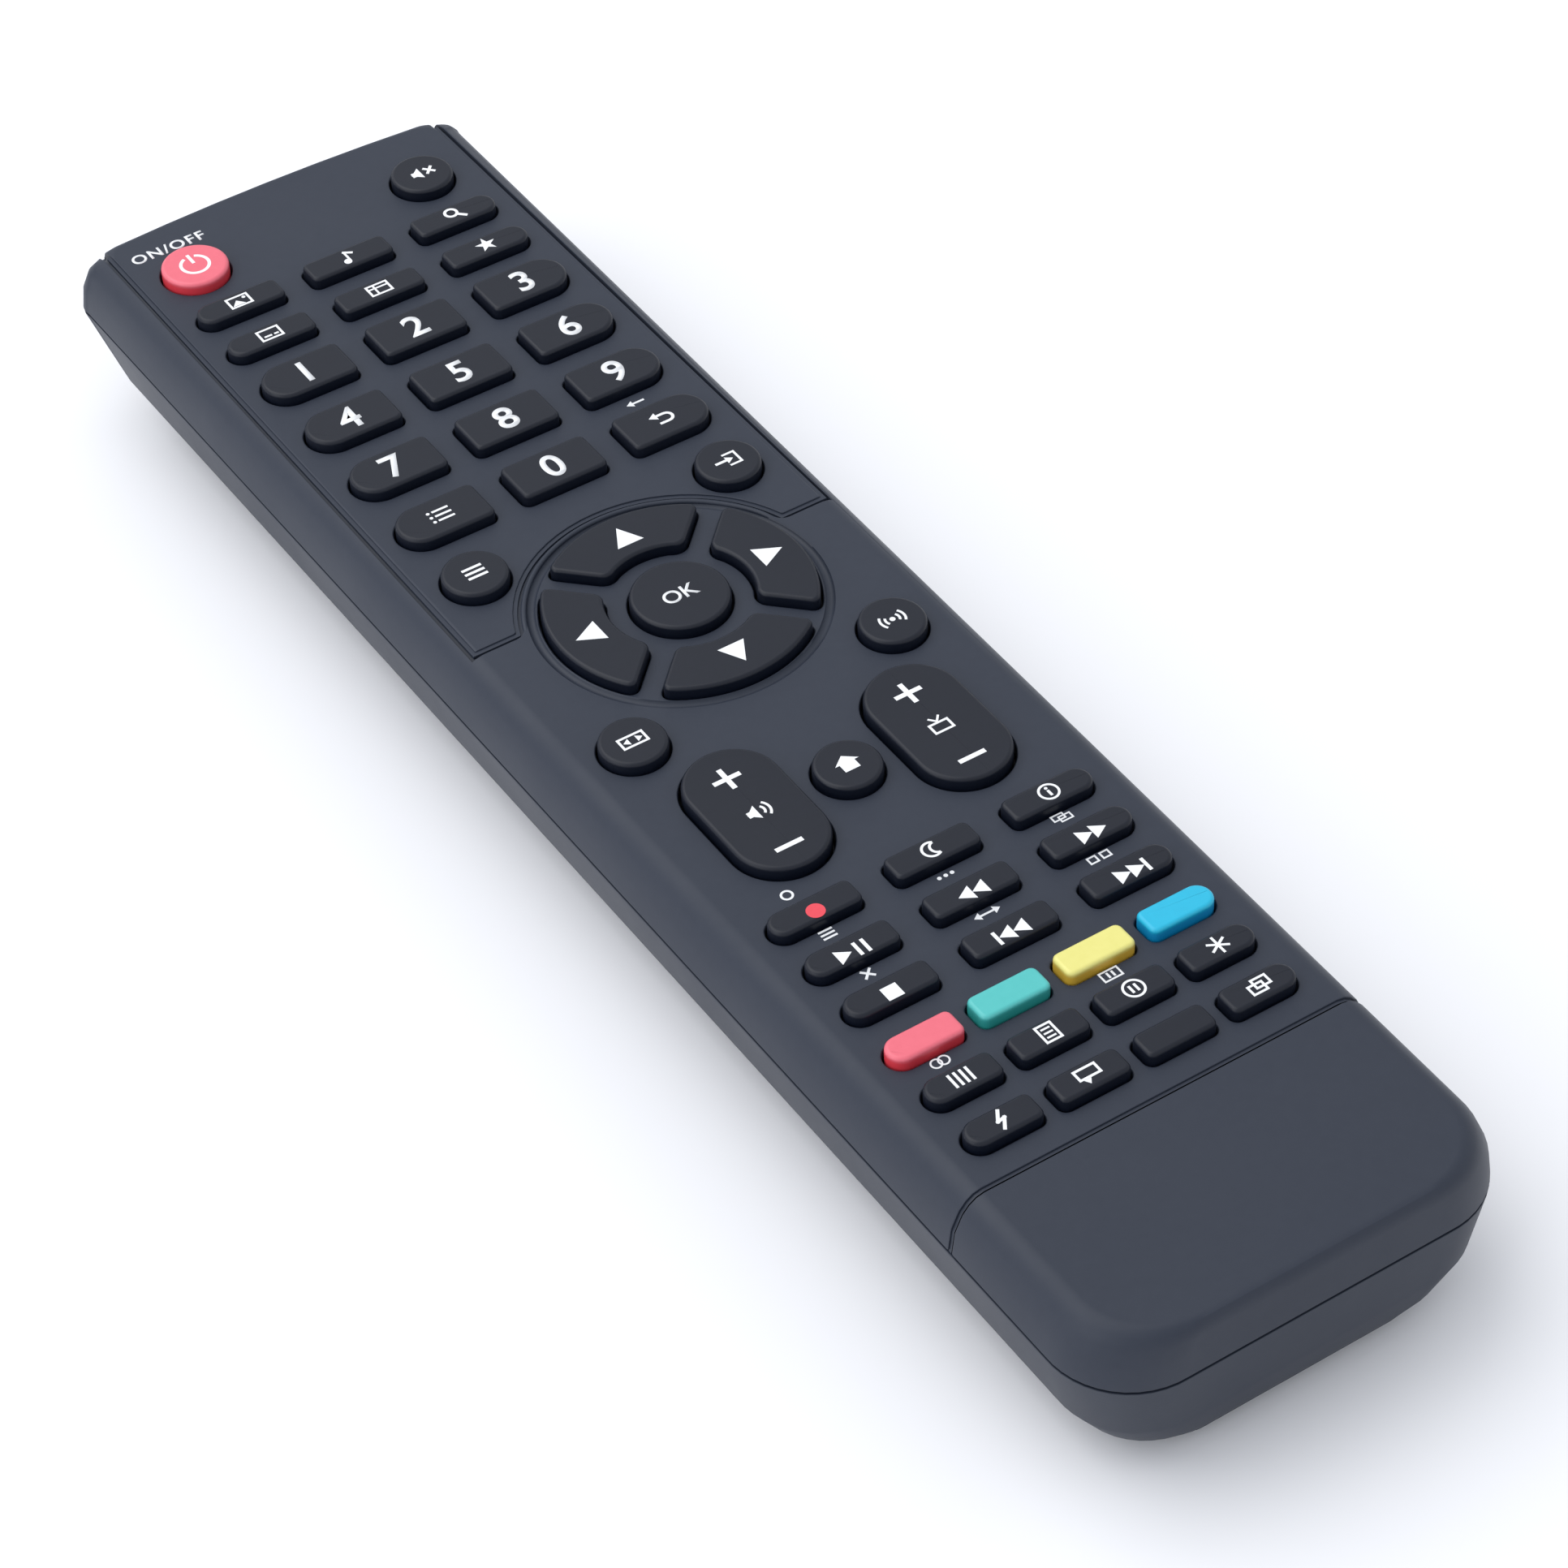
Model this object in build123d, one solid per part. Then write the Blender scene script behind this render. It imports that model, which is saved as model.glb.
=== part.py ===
from build123d import *

import os

# A handheld television remote control, drawn lying on its back.
# X runs across it, +Y points at the infrared end, Z = 0 is the table under it.
# Every size is in millimetres.

# Casing form.
body_length = 214.0
front_half_width = 27.1  # at the infrared end
side_taper = 1.2  # the hand end is narrower by this much on each side
body_height = 22.0  # flat top of the key field, above the table
upper_depth = 6.9  # height of the upper casing half
wall = 1.8
shoulder_width = 4.0  # rounded shoulder of the upper half, seen from above
end_round = 1.2  # softened edge between the top and the two end faces, seen from above
end_round_height = 1.6
end_lean = 0.3  # the end faces lean in by this much on their way up
under_side_round = 12.0  # how far the long walls of the lower half curve in under it
under_near_round = 5.0
under_front_rise = 42.0
front_bow = 1.0  # the infrared end bulges this much at its middle
front_corner_radius = 3.0
near_corner_radius = 10.0
least_corner_radius = 2.5
corner_tightening = 0.8  # a near corner loses this share of the end wall's pull
seam_gap = 0.3  # dark line between the casing halves
past = 5.0  # cutting blocks run this far past the skin

# Space inside the casing.
cavity_corner = 5.5
ceiling_draft = 1.9
end_draft = 1.0
tongue_height = 1.2
tongue_root = 5.0
tongue_gap = 0.75
tongue_end_gap = 13.0

# Key field.
side_margin = 4.5
key_margin = 2.0
key_stand = 1.4  # keys stand this far above the casing
key_travel = 0.8
key_lift = 0.15  # left over under a key that is pressed home
key_clearance = 0.25
rocker_clearance = 0.35
digit_gap = 3.8
digit_depth = 6.35
small_gap = 3.85
small_depth = 3.8
media_gap = 4.3
media_depth = 3.6
grid_margin = 2.34
grid_gap = 2.04
grid_depth = 3.6
power_radius = 4.15
round_radius = 3.9
wide_round_margin = 6.65
mid_round_margin = 5.7
rocker_length = 20.2
ridge_half_length = 4.0

# Places of the key rows along Y, as shares of the body's length from its middle.
power_row = 0.4416 * body_length
small_rows = (0.3963 * body_length, 0.3600 * body_length)
digit_first_row = 0.3187 * body_length
digit_pitch = 0.0498 * body_length
round_row = 0.1185 * body_length
pad_row = 0.0416 * body_length
lower_round_row = -0.0390 * body_length
rocker_row = -0.1154 * body_length
media_first_row = -0.1897 * body_length
media_pitch = 0.0329 * body_length
grid_first_row = -0.2897 * body_length
grid_row_pitch = 0.0321 * body_length

# Direction pad, the panel's groove and the hand end's seam.
pad_share = 0.695  # pad radius as a share of the key field's half width
pad_key_width = 7.1
enter_gap = 2.85
pad_spoke = 2.9  # width of the casing spokes between the pad keys
ring_gap = 2.6  # casing between the pad keys and the panel's edge
panel_groove_width = 0.9
panel_groove_margin = 0.8
panel_foot_drop = 5.85
groove_depth = 0.45
end_seam_distance = 25.8
end_seam_width = 0.6

# Circuit board, mat and what carries them.
board_drop = 2.0
board_thickness = 1.6
board_margin = 3.6
board_near_gap = 9.0
board_front_gap = 5.0
mat_thickness = 0.5
mat_corner = 4.0
mat_side_margin = 0.7
mat_near_gap = 25.0
mat_front_gap = 6.5
post_size = 3.0
post_margin = 5.3
post_rows = (-0.14 * body_length, 0.093 * body_length, 0.30 * body_length)
rib_thickness = 0.8
rib_end_gap = 12.0
chip_size = (7.5, 10.0, 2.2)
chip_place = (-4.0, 0.187 * body_length)
resonator_size = (7.0, 3.0, 2.4)
resonator_place = (8.0, 0.224 * body_length)
capacitor_size = (7.3, 4.3, 3.2)
capacitor_place = (10.0, -0.103 * body_length)
lamp_radius = 2.5
lamp_stem = 8.0
lamp_set_back = 0.6
lamp_clearance = 0.1

# Battery compartment.
cell_radius = 5.25
cell_length = 44.5
nub_radius = 1.9
nub_height = 0.9
cell_spacing = 1.0
cell_shift = 2.0  # each cell sits this far towards the plate that its raised pole meets
cell_floor_gap = 0.4
cell_side_gap = 0.7
cell_top_gap = 0.3
contact_room = 7.1  # left in the bay's length for the contacts and springs
bay_near_gap = 6.8
bay_wall = 1.2
contact_thickness = 0.4
contact_width = 7.0
contact_half_height = 3.5
slot_clearance = 0.2
spring_half_height = 3.2
spring_foot = 1.0
spring_tip = 0.8
spring_half_width = 2.0
door_overlap = 0.9
door_lead = 3.1
door_thickness = 1.6
door_clearance = 0.2
rail_width = 2.2
rail_floor = 0.9
rail_top = 4.4
rail_near_gap = 4.0
rail_lead = 3.0
grip_size = (14.0, 0.7, 0.5)
grip_count = 4
grip_pitch = 1.6
grip_start = 8.0

# Places that follow from these sizes.
near_half_width = front_half_width - side_taper
parting_height = body_height - upper_depth
front_end = body_length / 2
near_end = -body_length / 2
panel_underside = body_height - wall

field_half_width = front_half_width - side_margin
column_pitch = (field_half_width - key_margin + digit_gap / 2) / 1.5
grid_pitch = (field_half_width - grid_margin + grid_gap / 2) / 2
wide_round_offset = field_half_width - wide_round_margin
mid_round_offset = field_half_width - mid_round_margin
rocker_offset = 0.78 * column_pitch
rocker_width = column_pitch - digit_gap
pad_outer = pad_share * field_half_width
pad_inner = pad_outer - pad_key_width
enter_radius = pad_inner - enter_gap
ring_radius = pad_outer + ring_gap
panel_half_width = field_half_width + panel_groove_margin
panel_foot = pad_row + panel_foot_drop
end_seam = near_end + end_seam_distance

board_top = panel_underside - board_drop
board_bottom = board_top - board_thickness
mat_top = board_top + mat_thickness
board_half_width = near_half_width - board_margin
board_reach = (near_end + board_near_gap, front_end - board_front_gap)
mat_half_width = board_half_width - mat_side_margin
mat_reach = (near_end + mat_near_gap, front_end - mat_front_gap)
post_offset = board_half_width - post_margin
key_bottom = mat_top + key_travel + key_lift
lamp_tip = front_end - front_bow - lamp_set_back

cell_offset = cell_radius + cell_spacing / 2
cell_height = door_thickness + cell_floor_gap + cell_radius
bay_half_width = cell_offset + cell_radius + cell_side_gap
bay_start = near_end + bay_near_gap
bay_end = bay_start + cell_length + contact_room
bay_middle = (bay_start + bay_end) / 2
bay_ceiling = cell_height + cell_radius + cell_top_gap
bay_roof = bay_ceiling + bay_wall
door_half_width = bay_half_width + door_overlap
door_start = bay_end + door_lead


def block(x_reach, y_reach, z_reach):
    """Box between two opposite corners."""
    reaches = (x_reach, y_reach, z_reach)
    size = [high - low for low, high in reaches]
    middle = [(high + low) / 2 for low, high in reaches]
    return Pos(*middle) * Box(*size)


def both_sides(half):
    return (-half, half)


# Casing form.
def casing_slice(z, side_inset, near_inset, front_inset):
    """Outline of the casing at one height, pulled in from its largest outline by the three insets."""
    front = front_half_width - side_inset
    near = near_half_width - side_inset
    y_front = front_end - front_inset
    y_corner = y_front - front_bow
    y_near = near_end + near_inset
    bow = ThreePointArc((front, y_corner), (0, y_front), (-front, y_corner))
    left = Line((-front, y_corner), (-near, y_near))
    end = Line((-near, y_near), (near, y_near))
    right = Line((near, y_near), (front, y_corner))
    outline = make_face([bow, left, end, right])
    near_radius = max(near_corner_radius - corner_tightening * near_inset, least_corner_radius)
    outline = fillet(outline.vertices().sort_by(Axis.Y)[:2], near_radius)
    outline = fillet(outline.vertices().sort_by(Axis.Y)[-2:], front_corner_radius)
    return Pos(0, 0, z) * outline


def quarter(share):
    """Inward pull, from 0 to 1, of a quarter ellipse at a share of its height."""
    return 1 - (1 - share**2) ** 0.5


def upper_form(inset=0.0):
    """The upper half's solid form, its skin moved inwards by inset."""
    slices = []
    for share in (0.0, 0.45, 0.75, 0.89, 0.97, 1.0):
        side = shoulder_width * quarter(share) + inset
        rounding = max(0.0, 1 - (1 - share) * upper_depth / end_round_height)
        end = end_round * quarter(rounding) + end_lean * share + inset
        height = parting_height + (upper_depth - inset) * share
        slices.append(casing_slice(height, side, end, end))
    return loft(slices, ruled=True)


def lower_form():
    """The lower half's solid form: side and end walls curve in under it."""
    slices = []
    for share in (1.0, 0.97, 0.9, 0.75, 0.5, 0.0):
        pull = quarter(share)
        height = parting_height * (1 - share)
        slices.append(
            casing_slice(height, under_side_round * pull, under_near_round * pull, under_front_rise * pull)
        )
    return loft(slices, ruled=True)


def inner_space(section, profile):
    """Flat-sided space that keeps inside a cross-section, a side profile and the casing's own plan."""
    across = extrude(Plane.XZ * make_face(Polyline(*section, close=True)), body_length, both=True)
    along = extrude(Plane.YZ * make_face(Polyline(*profile, close=True)), body_length, both=True)
    front_x = front_half_width - wall
    near_x = near_half_width - wall
    y_front = front_end - front_bow - wall
    y_near = near_end + wall
    plan = make_face(
        Polyline((front_x, y_front), (-front_x, y_front), (-near_x, y_near), (near_x, y_near), close=True)
    )
    plan = chamfer(plan.vertices().sort_by(Axis.Y)[:2], cavity_corner)
    plan = chamfer(plan.vertices().sort_by(Axis.Y)[-2:], wall)
    return across & along & extrude(plan, body_height)


def upper_cavity():
    """Space inside the upper half, with drafted walls."""
    rim = front_half_width - wall
    ceiling = near_half_width - wall - ceiling_draft
    section = [
        (rim, parting_height),
        (ceiling, panel_underside),
        (-ceiling, panel_underside),
        (-rim, parting_height),
    ]
    front = front_end - front_bow - wall
    near = near_end + wall
    profile = [
        (near, parting_height),
        (near + end_draft, panel_underside),
        (front - end_draft, panel_underside),
        (front, parting_height),
    ]
    return inner_space(section, profile)


def lower_cavity():
    """Space inside the lower half, following its curved underside."""
    right = []
    near = []
    front = []
    for share, half_width in ((0.0, front_half_width), (0.6, near_half_width), (1.0, near_half_width)):
        pull = quarter(share)
        height = parting_height - (parting_height - wall) * share
        right.append((half_width - wall - under_side_round * pull, height))
        near.append((near_end + wall + under_near_round * pull, height))
        front.append((front_end - front_bow - wall - under_front_rise * pull, height))
    left = [(-x, z) for x, z in reversed(right)]
    return inner_space(right + left, near + front[::-1])


def side_half_width(y):
    """Half the casing's width at y, on the parting line."""
    share = (y - near_end) / (body_length - front_bow)
    return near_half_width + side_taper * share


# Key outlines.
def bar_outline(width, depth, round_end, gap=0.0):
    """Key outline with one full-round end ('left' or 'right') or none; gap enlarges it all round."""
    wide = width + 2 * gap
    deep = depth + 2 * gap
    if round_end is None:
        return Rectangle(wide, deep)
    side = -1 if round_end == "left" else 1
    arc_start = side * (wide - deep) / 2
    square_end = -side * wide / 2
    arc = ThreePointArc((arc_start, deep / 2), (side * wide / 2, 0), (arc_start, -deep / 2))
    low_corners = [(arc_start, -deep / 2), (square_end, -deep / 2)]
    high_corners = [(square_end, deep / 2), (arc_start, deep / 2)]
    path = Polyline(*low_corners, *high_corners)
    return make_face([arc, path])


def rocker_outline(gap=0.0):
    """Outline with two full-round ends, along Y."""
    return SlotOverall(rocker_length + 2 * gap, rocker_width + 2 * gap, rotation=90)


def pad_outline(turn, gap=0.0):
    """One quarter of the direction pad's ring, with straight spokes of casing at its sides."""
    ring = Circle(pad_outer + gap) - Circle(pad_inner - gap)
    reach = 2 * pad_outer
    start = (pad_spoke / 2 - gap) * 2**0.5
    wedge = make_face(Polyline((0, start), (reach, start + reach), (-reach, start + reach), close=True))
    return Rot(0, 0, turn) * (ring & wedge)


def key_table():
    """Every key's name, place and outline function, row by row from the infrared end."""
    keys = []

    def add(name, x, y, outline):
        keys.append((name, x, y, outline))

    def bar(name, x, y, width, depth, round_end):
        add(name, x, y, lambda gap=0.0: bar_outline(width, depth, round_end, gap))

    def disc(name, x, y, radius):
        add(name, x, y, lambda gap=0.0: Circle(radius + gap))

    def row_of_three(names, y, gap_between, depth):
        for name, column, end in zip(names, (-1, 0, 1), ("left", None, "right")):
            bar(name, column * column_pitch, y, column_pitch - gap_between, depth, end)

    disc("key_power", -wide_round_offset, power_row, power_radius)
    disc("key_mute", wide_round_offset, power_row, round_radius)
    row_of_three(("key_picture", "key_sound", "key_zoom"), small_rows[0], small_gap, small_depth)
    row_of_three(("key_subtitle", "key_guide", "key_favourite"), small_rows[1], small_gap, small_depth)
    digit_rows = (
        ("key_1", "key_2", "key_3"),
        ("key_4", "key_5", "key_6"),
        ("key_7", "key_8", "key_9"),
        ("key_list", "key_0", "key_return"),
    )
    for index, names in enumerate(digit_rows):
        row_of_three(names, digit_first_row - index * digit_pitch, digit_gap, digit_depth)
    disc("key_menu", -mid_round_offset, round_row, round_radius)
    disc("key_source", mid_round_offset, round_row, round_radius)
    for name, turn in (("key_up", 0), ("key_left", 90), ("key_down", 180), ("key_right", 270)):
        add(name, 0, pad_row, lambda gap=0.0, turn=turn: pad_outline(turn, gap))
    disc("key_enter", 0, pad_row, enter_radius)
    disc("key_wide", -mid_round_offset, lower_round_row, round_radius)
    disc("key_tuner", mid_round_offset, lower_round_row, round_radius)
    add("rocker_volume", -rocker_offset, rocker_row, rocker_outline)
    disc("key_home", 0, rocker_row, round_radius)
    add("rocker_program", rocker_offset, rocker_row, rocker_outline)
    media_rows = (
        ("key_record", "key_sleep", "key_info"),
        ("key_play_pause", "key_rewind", "key_fast_forward"),
        ("key_stop", "key_previous", "key_next"),
    )
    for index, names in enumerate(media_rows):
        row_of_three(names, media_first_row - index * media_pitch, media_gap, media_depth)
    grid_rows = (
        ("key_red", "key_green", "key_yellow", "key_blue"),
        ("key_audio_mode", "key_text", "key_hold", "key_freeze"),
        ("key_quick", "key_description", "key_blank", "key_depth"),
    )
    for index, names in enumerate(grid_rows):
        y = grid_first_row - index * grid_row_pitch
        for name, column, end in zip(names, (-1.5, -0.5, 0.5, 1.5), ("left", None, None, "right")):
            bar(name, column * grid_pitch, y, grid_pitch - grid_gap, grid_depth, end)
    return keys


# Keys.
def make_key(name, x, y, outline):
    """Key body standing through the casing; a rocker also has the ridge that it rocks on."""
    key = extrude(outline(), body_height + key_stand - key_bottom)
    if name.startswith("rocker"):
        key = key + rocking_ridge()
    return Pos(x, y, key_bottom) * key


def rocking_ridge():
    """Sharp ridge along X whose edge rests on the silicone mat."""
    depth = key_bottom - mat_top
    ridge = make_face(Polyline((-depth, 0), (depth, 0), (0, -depth), close=True))
    return extrude(Plane.YZ * ridge, ridge_half_length, both=True)


# Upper casing.
def key_openings(keys):
    """Plan of the openings that the keys stand in."""
    openings = Sketch()
    for name, x, y, outline in keys:
        gap = rocker_clearance if name.startswith("rocker") else key_clearance
        openings += Pos(x, y) * outline(gap)
    return openings


def panel_plan(growth):
    """Plan of the key panel, grown all round: a strip to the infrared end, less the pad's disc."""
    foot = panel_foot - growth
    strip = Pos(0, foot + body_length / 2) * Rectangle(2 * (panel_half_width + growth), body_length)
    return strip - Pos(0, pad_row) * Circle(ring_radius - growth)


def groove_plan():
    """The groove along the key panel's edge."""
    edge = panel_groove_width / 2
    return panel_plan(edge) - panel_plan(-edge)


def make_upper_casing(keys):
    """Shell of the upper half with its key openings, the panel's groove and the hand end's seam."""
    shell = upper_form() - upper_cavity()
    shell = shell - Pos(0, 0, panel_underside - past) * extrude(key_openings(keys), 2 * past)
    groove = Pos(0, 0, panel_underside) * extrude(groove_plan(), past)
    seam_reach = (end_seam - end_seam_width / 2, end_seam + end_seam_width / 2)
    seam = block(both_sides(body_length), seam_reach, (parting_height + seam_gap / 2, body_height + past))
    shell = shell - ((groove + seam) - upper_form(groove_depth))
    for side in (-1, 1):
        shell = shell + hold_down_rib(side)
    shell = shell - parting_cut(parting_height - past, parting_height + seam_gap / 2)
    return shell - lamp_hole()


def parting_cut(low, high):
    """Slab that trims a casing half along the parting line."""
    return block(both_sides(body_length), both_sides(body_length), (low, high))


def hold_down_rib(side):
    """Long rib under the upper casing that clamps the board's edge."""
    x = side * board_half_width
    x_reach = (x - rib_thickness / 2, x + rib_thickness / 2)
    y_reach = (board_reach[0] + rib_end_gap, board_reach[1] - rib_end_gap)
    return block(x_reach, y_reach, (board_top, panel_underside + wall / 2))


def lamp_hole():
    """Round hole on the parting line, through the infrared end."""
    hole = Cylinder(lamp_radius + lamp_clearance, 2 * (lamp_stem + past))
    return Pos(0, front_end, parting_height) * Rot(90, 0, 0) * hole


# Lower casing.
def door_space(gap=0.0):
    """The battery door's block, a plate along the underside to the hand end, enlarged by gap."""
    x_reach = both_sides(door_half_width + gap)
    return block(x_reach, (near_end - past, door_start + gap), (-past, door_thickness + gap))


def battery_bay():
    """Walls and roof round the two cells, and the thicker floor that the door's plate slides under."""
    bay = block(
        both_sides(bay_half_width + bay_wall),
        (bay_start - bay_wall, bay_end + bay_wall),
        (rail_floor, bay_roof),
    )
    rails = block(
        both_sides(door_half_width + rail_width),
        (near_end + rail_near_gap, door_start + rail_lead),
        (rail_floor, rail_top),
    )
    return bay + rails


def contact_slots():
    """Two slots in the bay's roof that the contact plates pass through on their way to the board."""
    half = contact_width / 2 + slot_clearance
    y_reach = (bay_end - contact_thickness - slot_clearance, bay_end + slot_clearance / 2)
    slot = block(both_sides(half), y_reach, (bay_ceiling - past / 2, bay_roof + past))
    return Pos(-cell_offset, 0, 0) * slot + Pos(cell_offset, 0, 0) * slot


def tongue(side):
    """Thin upstand of the lower half's long wall, just inside the upper half's wall."""
    outer = []
    inner = []
    for y in (near_end + tongue_end_gap, front_end - tongue_end_gap):
        x = side_half_width(y) - wall - tongue_gap
        outer.append((side * x, y))
        inner.append((side * (x - wall / 2), y))
    strip = make_face(Polyline(*outer, *reversed(inner), close=True))
    root = parting_height - seam_gap / 2 - tongue_root
    return Pos(0, 0, root) * extrude(strip, tongue_height + tongue_root)


def make_lower_casing():
    """Shell of the lower half with the battery bay, the board's posts and the side tongues."""
    shell = lower_form() - lower_cavity() + battery_bay()
    shell = shell - block(both_sides(bay_half_width), (bay_start, bay_end), (-past, bay_ceiling))
    shell = shell - door_space(door_clearance) - contact_slots()
    shell = shell - parting_cut(parting_height - seam_gap / 2, parting_height + past)
    for x in (-post_offset, post_offset):
        for y in post_rows:
            half = post_size / 2
            shell = shell + block((x - half, x + half), (y - half, y + half), (wall / 2, board_bottom))
    return shell + tongue(-1) + tongue(1) - lamp_hole()


def make_battery_door():
    """Door plate, skinned by the lower half's own form, with grip grooves at its inner end."""
    door = lower_form() & door_space()
    width, depth, height = grip_size
    for index in range(grip_count):
        y = door_start - grip_start - index * grip_pitch
        door = door - block(both_sides(width / 2), (y - depth / 2, y + depth / 2), (-height, height))
    return door


# Inside.
def soldered_part(size, place):
    """Small block hanging under the board."""
    width, depth, height = size
    return Pos(place[0], place[1], board_bottom - height / 2) * Box(width, depth, height)


def make_lamp():
    """Infrared lamp lying in the board's notch and pointing out of the front."""
    lamp = Cylinder(lamp_radius, lamp_stem)
    return Pos(0, lamp_tip - lamp_stem / 2, parting_height) * Rot(90, 0, 0) * lamp


def make_board():
    """Circuit board with the parts soldered under it and the infrared lamp at its end."""
    board = block(both_sides(board_half_width), board_reach, (board_bottom, board_top))
    notch = block(
        both_sides(lamp_radius + 2 * lamp_clearance),
        (lamp_tip - lamp_stem, front_end),
        (board_bottom - past, board_top + past),
    )
    chip = soldered_part(chip_size, chip_place)
    resonator = soldered_part(resonator_size, resonator_place)
    capacitor = soldered_part(capacitor_size, capacitor_place)
    return Compound(children=[board - notch, chip, resonator, capacitor, make_lamp()])


def make_mat():
    """Continuous silicone sheet on the board, which the keys are pressed onto."""
    width = 2 * mat_half_width
    length = mat_reach[1] - mat_reach[0]
    plan = Rectangle(width, length)
    plan = chamfer(plan.vertices(), mat_corner)
    return Pos(0, (mat_reach[0] + mat_reach[1]) / 2, board_top) * extrude(plan, mat_thickness)


def cell_body_middle(side):
    """Middle of a cell's body along Y; the left cell's raised pole points at the infrared end."""
    return bay_middle - side * cell_shift


def make_cell(side):
    """One small cylindrical cell with its raised pole."""
    body = Cylinder(cell_radius, cell_length - nub_height)
    nub = Pos(0, 0, cell_length / 2) * Cylinder(nub_radius, nub_height)
    cell = Rot(90 * side, 0, 0) * (body + nub)
    return Pos(side * cell_offset, cell_body_middle(side), cell_height) * cell


def facing_ends(side, towards_board):
    """Places along Y of a cell's end and of the contact plate that it faces."""
    reach = (cell_length - nub_height) / 2
    outward = 1 if towards_board else -1
    if outward == -side:
        reach += nub_height
    plate = bay_end - contact_thickness if towards_board else bay_start + contact_thickness
    return cell_body_middle(side) + outward * reach, plate


def bowed_spring(side, towards_board):
    """Spring strip bowed from the plate to the cell's end."""
    end, plate = facing_ends(side, towards_board)
    inner_end = end + contact_thickness if plate > end else end - contact_thickness
    outer = [
        (plate, -spring_half_height),
        (end, -spring_tip),
        (end, spring_tip),
        (plate, spring_half_height),
    ]
    inner = [
        (plate, spring_half_height - spring_foot),
        (inner_end, spring_tip / 2),
        (inner_end, -spring_tip / 2),
        (plate, spring_foot - spring_half_height),
    ]
    strip = make_face(Polyline(*outer, *inner, close=True))
    return Pos(side * cell_offset, 0, cell_height) * extrude(Plane.YZ * strip, spring_half_width, both=True)


def make_battery_contacts():
    """Bridge plate at the hand end and one plate per cell at the board end, each with its springs."""
    low = cell_height - contact_half_height
    bridge = block(
        both_sides(cell_offset + contact_width / 2),
        (bay_start, bay_start + contact_thickness),
        (low, bay_ceiling - cell_top_gap),
    )
    pieces = [bridge + bowed_spring(-1, False) + bowed_spring(1, False)]
    for side in (-1, 1):
        x = side * cell_offset
        x_reach = (x - contact_width / 2, x + contact_width / 2)
        plate = block(x_reach, (bay_end - contact_thickness, bay_end), (low, board_bottom))
        pieces.append(plate + bowed_spring(side, True))
    return Compound(children=pieces)


def main():
    os.makedirs("parts", exist_ok=True)
    keys = key_table()
    export_step(make_upper_casing(keys), "parts/upper_casing.step")
    export_step(make_lower_casing(), "parts/lower_casing.step")
    export_step(make_battery_door(), "parts/battery_door.step")
    export_step(make_board(), "parts/circuit_board.step")
    export_step(make_mat(), "parts/keypad_mat.step")
    export_step(Compound(children=[make_cell(-1), make_cell(1)]), "parts/battery_cells.step")
    export_step(make_battery_contacts(), "parts/battery_contacts.step")
    for key in keys:
        export_step(make_key(*key), f"parts/{key[0]}.step")


main()
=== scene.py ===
# %% [markdown]
# # A television remote control
#
# A handheld remote is a long plastic shell in two halves. Its keys stand in openings of the
# upper half, and a battery door slides off the back. The shapes that move and fit come from a
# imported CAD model, the frame. This script dresses that frame: it gives the shell a fine edge
# round each opening, models every key again with soft moulded edges, prints the marks, and makes
# the plastics. Everything is in metres, in the frame's own place: +X runs across the keys, +Y
# points at the infrared end, and Z = 0 is the table.

import math

import bmesh
import bpy
from mathutils import Matrix, Vector


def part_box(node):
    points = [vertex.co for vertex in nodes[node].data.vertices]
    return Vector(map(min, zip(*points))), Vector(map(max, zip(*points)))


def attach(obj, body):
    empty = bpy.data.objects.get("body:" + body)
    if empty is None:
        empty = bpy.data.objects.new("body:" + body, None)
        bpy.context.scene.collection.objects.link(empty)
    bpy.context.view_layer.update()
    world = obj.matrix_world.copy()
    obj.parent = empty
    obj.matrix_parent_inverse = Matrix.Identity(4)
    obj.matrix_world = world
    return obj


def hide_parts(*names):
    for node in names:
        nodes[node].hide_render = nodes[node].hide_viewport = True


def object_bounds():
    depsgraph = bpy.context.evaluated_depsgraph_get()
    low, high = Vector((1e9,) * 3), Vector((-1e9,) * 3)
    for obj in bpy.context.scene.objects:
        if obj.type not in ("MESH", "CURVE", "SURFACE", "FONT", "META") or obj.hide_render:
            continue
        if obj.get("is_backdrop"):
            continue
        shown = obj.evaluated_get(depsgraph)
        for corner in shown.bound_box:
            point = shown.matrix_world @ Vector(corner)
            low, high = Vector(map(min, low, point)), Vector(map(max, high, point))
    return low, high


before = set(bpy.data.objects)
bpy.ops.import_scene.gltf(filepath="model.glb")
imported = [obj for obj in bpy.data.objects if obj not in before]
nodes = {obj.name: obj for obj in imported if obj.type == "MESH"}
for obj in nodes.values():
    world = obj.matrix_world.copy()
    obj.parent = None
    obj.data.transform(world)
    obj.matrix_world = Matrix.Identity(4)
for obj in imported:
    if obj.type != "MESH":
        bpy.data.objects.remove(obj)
cad_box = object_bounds()
print("frame:", len(nodes), "nodes, from", tuple(cad_box[0]), "to", tuple(cad_box[1]))

# %% [markdown]
# ## Helpers for modelling
#
# Modelling in code is the same work as by hand: add a primitive, select some of its edges or
# faces, and run an operator on them. What the hand does with the mouse, the code does with a test
# on each edge or face. Sizes are given in millimetres and turned to metres by `mm`.

# %% Helpers: units, places and selecting
mm = 0.001
near = 0.001 * mm  # places nearer to each other than this are the same


def activate(piece):
    """Selects one piece alone and makes it the active one."""
    bpy.ops.object.select_all(action="DESELECT")
    piece.select_set(True)
    bpy.context.view_layer.objects.active = piece


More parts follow.
